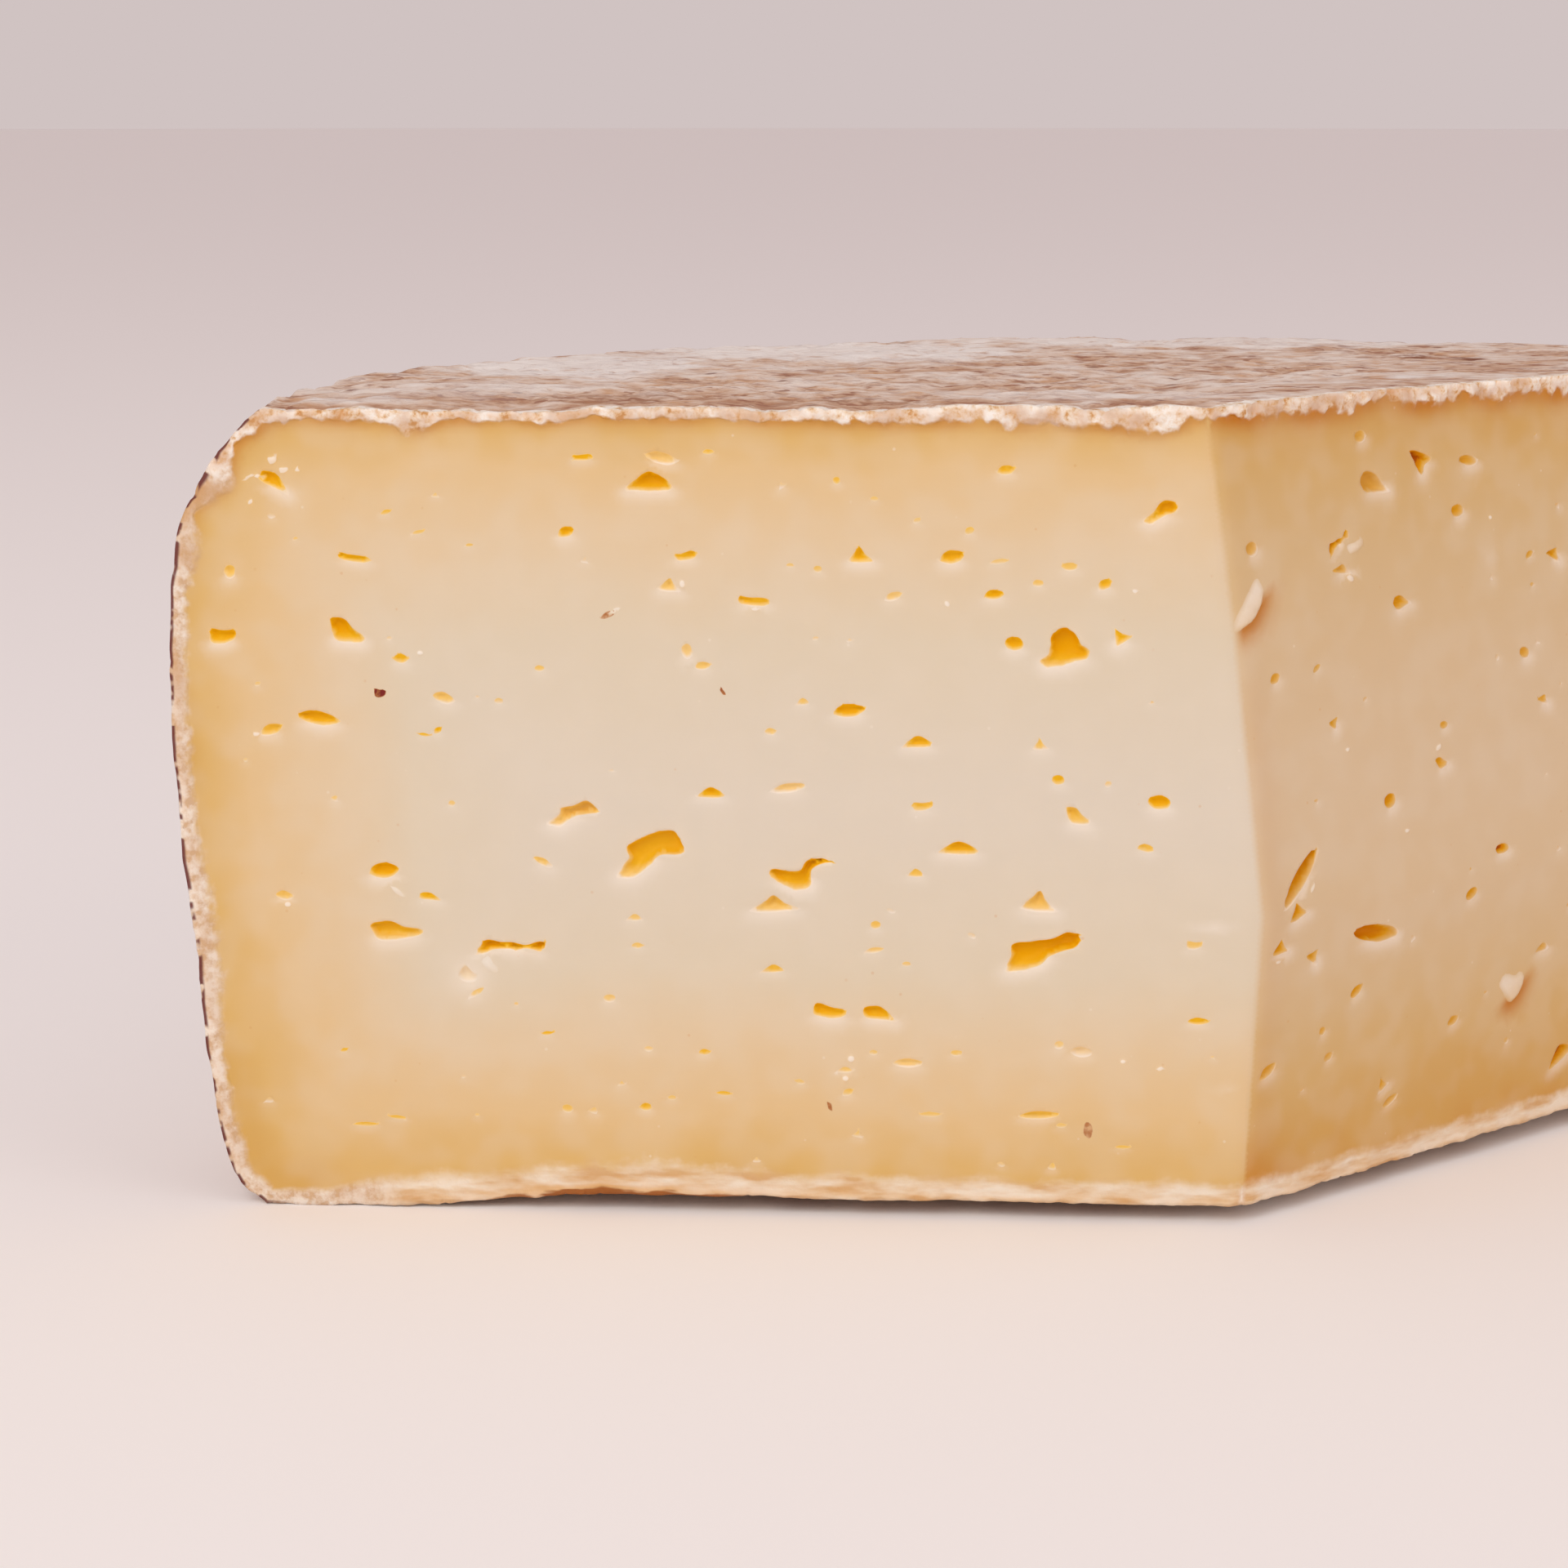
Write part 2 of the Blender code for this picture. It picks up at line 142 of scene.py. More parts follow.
def in_place(turn, r, z):
    """A point of the cheese in the wheel's frame: its turn between the cuts, radius and height."""
    angle = SIDE_CUT + SECTOR * turn
    way = Vector((math.cos(angle), math.sin(angle), 0.0))
    flat = way * r + Vector((0.0, 0.0, z))
    swell = LUMP * noise.noise(flat / LUMP_SPACING) + WRINKLE * noise.noise(flat / WRINKLE_SPACING)
    behind = ease(min(turn, 1 - turn) / PRESSED_TURN) * min(r / RADIUS, 1.0)
    shoulder = ease((z / HEIGHT - SHOULDER_FROM) / (1 - SHOULDER_FROM))
    outward = (r / RADIUS) ** 2
    upward = (z / HEIGHT) ** 3
    stray = edge_stray(z) * (1 - turn * min(r / RADIUS, 1.0))
    over = ease((r + SIDE_CUT_HIGHER_START) / (SIDE_CUT_HIGHER_BY + SIDE_CUT_HIGHER_START))
    over = over * ease((RADIUS - r) / SIDE_CUT_HIGHER_END)
    over *= (1 - ease(turn / SIDE_CUT_HIGHER_TURN)) * ease(
        (z / HEIGHT - SIDE_CUT_HIGHER_FROM) / SIDE_CUT_HIGHER_SPAN)
    r += swell * outward + BACK_FULLER * behind * shoulder
    z += (swell + BACK_HIGHER * behind) * upward + SIDE_CUT_HIGHER * over
    give = EDGE_GIVE * max(0.0, 1 - r / EDGE_ROUND) ** 2
    return way * r + Vector((stray, 0.0, z)) + EDGE_INWARD * give


# ---------------------------------------------------------------- the wheel's profile

class Profile:
    """The wheel's outline in a half plane, by length from the underside's middle to the top's."""

    PER_SPAN = 64

    def __init__(self):
        stations = [Vector(s) for s in RIND_STATIONS]
        padded = [2 * stations[0] - stations[1], *stations, 2 * stations[-1] - stations[-2]]
        path = [Vector((r * MM, 0.0)) for r in range(int(FOOT_RADIUS / MM) + 1)]
        for a, b, c, d in zip(padded, padded[1:], padded[2:], padded[3:]):
            path += [on_curve(a, b, c, d, k / self.PER_SPAN) for k in range(self.PER_SPAN)]
        rim = len(path)
        path.append(stations[-1])
        count = int(RIM_RADIUS / MM)
        inwards = [RIM_RADIUS * (1 - k / count) for k in range(1, count + 1)]
        path += [Vector((r, top(r))) for r in inwards]
        reach = [0.0]
        for a, b in zip(path, path[1:]):
            reach.append(reach[-1] + (b - a).length)
        self.path = path
        self.reach = reach
        self.length = reach[-1]
        self.foot = FOOT_RADIUS
        self.rim = reach[rim]

    def at(self, along):
        """Point of the profile at a length, and the outward normal there."""
        low, high = 0, len(self.reach) - 1
        while high - low > 1:
            mid = (low + high) // 2
            if self.reach[mid] <= along:
                low = mid
            else:
                high = mid
        a, b = self.path[low], self.path[high]
        share = (along - self.reach[low]) / (self.reach[high] - self.reach[low])
        way = (b - a).normalized()
        return a.lerp(b, share), Vector((way.y, -way.x))


PROFILE = Profile()


def outline_at(turn, along):
    """Plane point of the outline at a turn, on the dish where it is under the cheese."""
    spot, normal = PROFILE.at(along)
    if along < RING_INNER:
        spot = Vector((spot.x, dish(spot.x, turn)))
    return spot, normal


# ---------------------------------------------------------------- relief of the crust

TOP_LUMP = 0.30 * MM
TOP_LUMP_SPACING = 3.4 * MM
CREASE_DEPTH = 0.2 * MM
CREASE_SPACING = Vector((2.9, 2.1, 2.4)) * MM
CREASE_WIDTH = 0.16
CREASE_BEND = 1.3 * MM
CREASE_BEND_SPACING = 3.0 * MM
PIT_DEPTH = 0.32 * MM
PIT_CELL = 2.6 * MM
PIT_RADIUS = 0.24
PIT_SHARE = 0.45
RELIEF_SINK = 0.05 * MM
# Creases show in patches of this size
CREASE_PATCH = 9.0 * MM
PATCH_SHIFT = Vector((7.0, 0.0, 0.0))
PIT_DRAW = 3.7
FINER_LUMPS = 2.3
# The wheel's side has broader lumps too. Its relief is stronger than the top's by a factor, and
# weaker beside a cut, up to this turn between the cuts. Under the dish the crust is smoother
SIDE_LUMP = 0.4 * MM
SIDE_LUMP_SPACING = 8.0 * MM
SIDE_ROUGHER = 2.0
SIDE_AT_CUT = 0.5
CALM_TURN = 0.03
DISH_ROUGH = 0.6
# Crumbs lie on the crust this near to a cut, and it is darker this near to the front cut
BRIM = 1.1 * MM
NEAR_CUT = 8.0 * MM
# Mould and stains reach this far over the shoulder
CRUST_SHOULDER = 6.0 * MM


def crag(flat):
    """Relief of the crust at a place: its height, how deep in a crease or pit it is, how raised."""
    bent = flat + noise.noise_vector(flat / CREASE_BEND_SPACING) * CREASE_BEND
    scaled = Vector(b / s for b, s in zip(bent, CREASE_SPACING))
    crease = max(0.0, 1 - abs(noise.noise(scaled)) / CREASE_WIDTH)
    crease *= ease(0.6 + noise.noise(flat / CREASE_PATCH + PATCH_SHIFT))
    gaps, cells = noise.voronoi(flat / PIT_CELL)
    pit = max(0.0, 1 - gaps[0] / PIT_RADIUS)
    if noise.cell(cells[0] * PIT_DRAW) > PIT_SHARE:
        pit = 0.0
    lumps = noise.noise(flat / TOP_LUMP_SPACING)
    lumps += 0.5 * noise.noise(flat / (TOP_LUMP_SPACING / FINER_LUMPS))
    height = TOP_LUMP * lumps - CREASE_DEPTH * crease - PIT_DEPTH * ease(pit) - RELIEF_SINK
    low = ease(-1.6 * lumps - 0.25)
    return height, min(1.0, 0.6 * crease + ease(pit) + 0.7 * low), ease(1.7 * lumps)


# White mould on the top: middle from the wheel's axis, half sizes, in millimetres, and strength
MOULD = (
    (-64.0, 41.5, 12.0, 14.0, 1.0),
    (-41.0, 65.0, 20.0, 15.0, 1.0),
    (-78.5, 4.8, 4.5, 2.6, 1.0),
    (-70.0, 14.0, 9.0, 7.0, 0.45),
    (-14.0, 12.0, 14.0, 5.0, 0.5),
    (0.0, 80.0, 26.0, 9.0, 0.9),
)
# Brown marks on the top, the same
STAINS = (
    (19.2, 57.5, 1.6, 2.6, 1.0),
    (24.5, 56.0, 1.9, 3.4, 1.0),
    (-33.0, 6.5, 6.0, 2.5, 0.45),
    (-57.0, 8.0, 8.0, 3.0, 0.35),
)


# The blotches' borders are ragged at two sizes
RAGGED = 4.0 * MM
RAGGED_FINE = 1.5 * MM


def blotch(spots, p):
    """How much one of the listed blotches covers a place, with a ragged border."""
    ragged = 0.35 * noise.noise(p / RAGGED) + 0.25 * noise.noise(p / RAGGED_FINE)
    found = 0.0
    for x, y, half_x, half_y, strength in spots:
        far = math.hypot((p.x / MM - x) / half_x, (p.y / MM - y) / half_y)
        found = max(found, strength * ease((1.15 + ragged - far) / 0.4))
    return found


def skin(turn, along):
    """Place of the crust with its relief, and the marks that paint it."""
    spot, normal = outline_at(turn, along)
    base = in_place(turn, spot.x, spot.y)
    height, deep, peak = crag(base)
    behind = ease(min(turn, 1 - turn) / CALM_TURN)
    rough = 1.0 + (SIDE_AT_CUT + (SIDE_ROUGHER - SIDE_AT_CUT) * behind - 1.0) * abs(normal.x)
    height += SIDE_LUMP * behind * abs(normal.x) * noise.noise(base / SIDE_LUMP_SPACING)
    if along < RING_INNER:
        rough *= DISH_ROUGH
    angle = SIDE_CUT + SECTOR * turn
    out = Vector((math.cos(angle) * normal.x, math.sin(angle) * normal.x, normal.y))
    to_cut = spot.x * math.sin(min(turn, 1 - turn) * SECTOR)
    marks = {"deep": deep, "peak": peak, "upright": abs(normal.x), "brim": bell(to_cut, 0.0, BRIM)}
    marks["near"] = bell(to_cut, 0.0, NEAR_CUT) * ease(3 * turn - 1)
    if along > PROFILE.rim - CRUST_SHOULDER:
        marks["mould"] = blotch(MOULD, base)
        marks["stain"] = blotch(STAINS, base)
    return base + out * height * rough, marks


# ---------------------------------------------------------------- the rind in the cuts

def lip(turn, r, z):
    """How far the rind's crumbs stand out of a cut at the rind itself."""
    where = Vector((r, CRUMB_SHIFT * turn, z)) / CRUMB_SPACING
    return CRUMB_PROUD * (1.0 + CRUMB_CONTRAST * noise.noise(where))


# Width of the rind in the cuts: on the top of each, down the side and on the underside
BAND_TOP = {1: 0.95 * MM, 0: 1.6 * MM}
BAND_SIDE = 1.5 * MM
BAND_UNDER = 2.05 * MM
BAND_CORNER = 0.4 * MM
# On the front cut it is thicker towards the edge between the cuts, on the side cut thinner
BAND_AT_EDGE = 1.0 * MM
BAND_AT_EDGE_REACH = 24.0 * MM
BAND_AT_EDGE_FROM = 4.0 * MM
BAND_SIDE_CUT_LESS = 0.6 * MM
BAND_SIDE_CUT_REACH = 6.0 * MM
# Thicker places of the front cut's rind: on the top, where the distance is from the axis,
# and on the underside and the side: length along the outline, reach and how much
BAND_BULGE = 1.1 * MM
BAND_BULGE_AT = 72.5 * MM
BAND_BULGE_REACH = 2.2 * MM
BAND_SWELLS = (
    (54.0 * MM, 12.0 * MM, 0.9 * MM),
    (73.0 * MM, 5.0 * MM, 0.8 * MM),
    (PROFILE.foot + 27.0 * MM, 9.0 * MM, 0.6 * MM),
)


# Where the outline turns from the underside to the side and to the top, and where its upper corner
# is: how long before the foot or the rim it starts, and over which length
TO_SIDE = (10 * MM, 6 * MM)
TO_TOP = (10 * MM, 14 * MM)
TO_CORNER = (28 * MM, 16 * MM)
# Spacing of the band's unevenness along the outline
BAND_UNEVEN = 4.2 * MM
BAND_UNEVEN_FINE = 1.25 * MM


def from_before(along, point, way):
    """0 to 1 where the outline passes from one part to the next, before a point of it."""
    before, length = way
    return ease((along - point + before) / length)


def band_width(turn, along):
    """Width of the rind in a cut at a length along the outline."""
    low = from_before(along, PROFILE.foot, TO_SIDE)
    high = from_before(along, PROFILE.rim, TO_TOP)
    width = BAND_UNDER + (BAND_SIDE - BAND_UNDER) * low + (BAND_TOP[turn] - BAND_SIDE) * high
    corner = from_before(along, PROFILE.rim, TO_CORNER) * (1 - high)
    width += BAND_CORNER * corner
    where = Vector((along / BAND_UNEVEN, 31.0 * turn, 0.0))
    fine = Vector((along / BAND_UNEVEN_FINE, 17.0 * turn, 5.0))
    uneven = (0.2 + 0.2 * low + 0.5 * corner) * noise.noise(where)
    uneven += (0.08 * low + 0.3 * high + 0.2 * corner) * noise.noise(fine)
    from_axis = RIM_RADIUS - (along - PROFILE.rim)
    if turn == 1:
        at_edge = bell(from_axis, 0.0, BAND_AT_EDGE_REACH) * ease(from_axis / BAND_AT_EDGE_FROM)
        width += high * BAND_AT_EDGE * at_edge
        width += BAND_BULGE * bell(from_axis, BAND_BULGE_AT, BAND_BULGE_REACH)
        for middle, reach, more in BAND_SWELLS:
            width += more * bell(along, middle, reach)
    elif high > 0.5:
        width -= BAND_SIDE_CUT_LESS * bell(from_axis, 0.0, BAND_SIDE_CUT_REACH)
    return width * (1.0 + 1.1 * uneven)


# Share of the lip's height that is left on the top, and where the rind isn't crumbly
LIP_ON_TOP = 0.75
LIP_ON_SIDE = 0.12
# Relief of the crumbs: large, fine and as cells, each with its spacing, and how they are bent
CURD = 0.34 * MM
CURD_SPACING = 1.5 * MM
CURD_FINE = 0.24 * MM
CURD_FINE_SPACING = 0.62 * MM
CURD_CELL = 1.1 * MM
CURD_CELL_HEIGHT = 0.2 * MM
CURD_BEND = 0.7
CURD_BEND_SPACING = 1.6 * MM
# Patches in the side's rind: their spacing, and the height and length over which they set in
MOTTLE_SPACING = 3.2 * MM
MOTTLE_FROM = 38
MOTTLE_OVER = 20
# The toasted part of the rind under the front cut
TOAST_AT = 55.0 * MM
TOAST_REACH = 13.0 * MM
# The underside's rind: up to which height and distance from the axis, fading over a length
UNDER_UP_TO = 9.0 * MM
UNDER_FROM = 79.0 * MM
UNDER_FADE = 5 * MM
# The line of dark skin round a cut begins before the foot and ends after the rim
OUTLINE_BEFORE = 3 * MM
OUTLINE_FADE = 4 * MM


def lip_share(p):
    """Share of the lip's height at a place, by how crumbly the rind is there."""
    return LIP_ON_SIDE + (LIP_ON_TOP - LIP_ON_SIDE) * crumbliness(p)


def under_marks(turn, p):
    """How much a place of a cut belongs to the underside's rind, and how toasted that is."""
    under = (1 - ease(p.y / UNDER_UP_TO - 0.3)) * ease((UNDER_FROM - p.x) / UNDER_FADE)
    toast = bell(p.x, TOAST_AT, TOAST_REACH) if turn == 1 else 0.0
    return {"under": under, "toast": under * (0.2 + 0.8 * toast)}


def outline_share(along):
    """How much the dark skin shows as a line round a cut: down the wheel's side alone."""
    starts = ease((along - PROFILE.foot + OUTLINE_BEFORE) / OUTLINE_FADE)
    return starts * (1 - ease((along - PROFILE.rim) / OUTLINE_FADE))


def crumbliness(p):
    """How crumbly the rind is in a cut: most on the top, least down the side."""
    on_top = ease((p.y / HEIGHT - 0.86) / 0.1)
    return max(on_top, 0.28 + 0.2 * ease(1 - p.y / UNDER_UP_TO))


def mottle(turn, p):
    """How far tan patches break the pale rind of the side, mostly high up."""
    where = Vector((p.x, CRUMB_SHIFT * turn, p.y)) / MOTTLE_SPACING
    high_up = 0.25 + 0.75 * ease((p.y / MM - MOTTLE_FROM) / MOTTLE_OVER)
    return high_up * ease(1.6 * noise.noise(where) + 0.45) * (1 - ease((crumbliness(p) - 0.4) / 0.3))


def curds(turn, p):
    """The crumbs' own relief in the rind of a cut, and how deep between crumbs a place is, which gets
    painted shade.
    """
    where = Vector((p.x, CRUMB_SHIFT * turn, p.y))
    bent = where + noise.noise_vector(where / CURD_BEND_SPACING) * CURD_BEND * MM
    gaps, _ = noise.voronoi(bent / CURD_CELL)
    large = noise.noise(bent / CURD_SPACING)
    fine = noise.noise(where / CURD_FINE_SPACING)
    height = CURD * large + CURD_FINE * fine + CURD_CELL_HEIGHT * (0.5 - gaps[0])
    relief = ease((crumbliness(p) - 0.15) / 0.85)
    return height * relief, ease(0.45 - 1.5 * large - 0.8 * fine)


# ---------------------------------------------------------------- eyes

# Outlines of eyes as seen, in a box from -1 to 1, counter-clockwise
KINDS = {
    "round": ((1, 0), (0.7, 0.75), (0, 1), (-0.75, 0.7), (-1, 0), (-0.7, -0.75), (0, -1), (0.75, -0.7)),
    "lens": ((1, 0.1), (0.4, 0.85), (-0.35, 0.95), (-1, -0.1), (-0.4, -0.85), (0.4, -0.9)),
    "dome": ((1, -0.7), (0.75, 0.2), (0.1, 1), (-0.45, 0.35), (-1, -0.75), (-0.4, -0.95), (0.4, -1)),
    "wedge": ((1, -0.9), (0.4, 0.3), (-0.2, 1), (-1, 0.75), (-0.95, -0.5), (0, -0.8), (0.8, -1)),
    "bar": ((1, -0.3), (0.7, 0.5), (-0.4, 0.7), (-0.98, 1), (-1, -0.2), (-0.5, -0.7), (0.6, -1)),
    "kite": ((1, -0.45), (0.3, 0.2), (-0.15, 0.9), (-0.9, 1), (-1, 0.5), (-0.75, -0.75), (0.2, -1),
             (0.85, -0.95)),
    "tri": ((1, -0.75), (0.35, 0.15), (0, 1), (-0.35, 0.4), (-1, -0.8), (-0.3, -1), (0.4, -0.9)),
    "block": ((0.95, 0.8), (0.1, 0.75), (-0.9, 0.95), (-1, -0.3), (-0.8, -0.95), (0.2, -1), (1, -0.2)),
    "keyhole": ((0.98, -0.1), (0.66, 0.2), (0.55, 0.6), (0.2, 0.98), (-0.1, 0.92), (-0.4, 0.6),
                (-0.5, 0.1), (-0.62, -0.35), (-1, -0.65), (-0.85, -0.95), (-0.3, -0.98), (0.3, -0.72),
                (0.9, -0.5)),
    "boot": ((1, 0.95), (0.97, 0.35), (0.6, 0.12), (0.25, -0.15), (0, -0.6), (-0.4, -0.9),
             (-0.95, -1), (-0.98, -0.75), (-0.85, -0.1), (-0.82, 0.4), (-0.2, 0.6), (0.3, 0.72),
             (0.65, 0.98)),
    "crack": ((1, 0.4), (0.9, 0.9), (0.7, 0.75), (0.45, 0.4), (0.1, 0.7), (-0.3, 0.75), (-0.6, 1),
              (-0.8, 0.7), (-0.95, -0.4), (-1, -1), (-0.7, -0.7), (-0.45, -0.2), (0, -0.1),
              (0.15, -0.35), (0.42, 0.0), (0.62, -0.1), (0.85, -0.4)),
    "peanut": ((0.98, 0.5), (0.75, 0.95), (0.3, 0.98), (-0.05, 0.65), (-0.28, 0.2), (-0.62, -0.2),
               (-0.95, -0.5), (-1, -0.85), (-0.65, -1), (-0.2, -0.65), (0.3, -0.2), (0.8, 0.05)),
    "wing": ((1, 0.2), (0.75, 0.9), (0.5, 1), (0.1, 0.65), (-0.35, 0.45), (-0.55, -0.1), (-1, -0.7),
             (-0.85, -0.9), (-0.5, -1), (-0.2, -0.6), (0.2, -0.15), (0.7, 0.05)),
    "comet": ((0.9, 0.9), (1, 0.1), (0.35, 0), (0, -0.45), (-0.45, -0.95), (-1, -0.9), (-0.8, -0.4),
              (-0.62, -0.1), (-0.66, 0.3), (-0.26, 0.65), (0.3, 0.95)),
    "gourd": ((1, 0.8), (0.6, 0.68), (0.28, 0.25), (0.24, -0.7), (-0.2, -1), (-0.6, -0.65),
              (-0.98, -0.1), (-0.85, 0.3), (-0.35, 0.2), (-0.02, 0.3), (0.15, 0.8), (0.5, 1)),
    "fang": ((1, 0.25), (0.2, 0.75), (-1, 1), (-0.75, 0.2), (-0.45, -0.6), (-0.2, -1), (0.1, -0.85),
             (0.3, -0.3)),
    "shell": ((1, -1), (0.5, -0.1), (0.1, 0.7), (-0.5, 1), (-0.95, 0.5), (-0.9, -0.4), (-0.5, -0.85),
              (0.3, -0.95)),
    "shard": ((1, 0.5), (0.85, 0.95), (0.2, 0.75), (-0.5, 0.5), (-1, 0.1), (-0.7, -0.45),
              (-0.1, -0.95), (0.5, -0.9), (0.9, -0.3)),
    "heart": ((0.95, 0.75), (0.5, 1), (0.15, 0.72), (-0.4, 0.8), (-0.95, 0.6), (-1, 0), (-0.55, -0.45),
              (0.1, -1), (0.55, -0.7), (0.9, 0.0)),
    "pod": ((1, -0.2), (0.6, 0.6), (-0.2, 1), (-0.95, 0.7), (-1, 0), (-0.5, -0.6), (0.1, -1),
            (0.75, -0.8)),
}
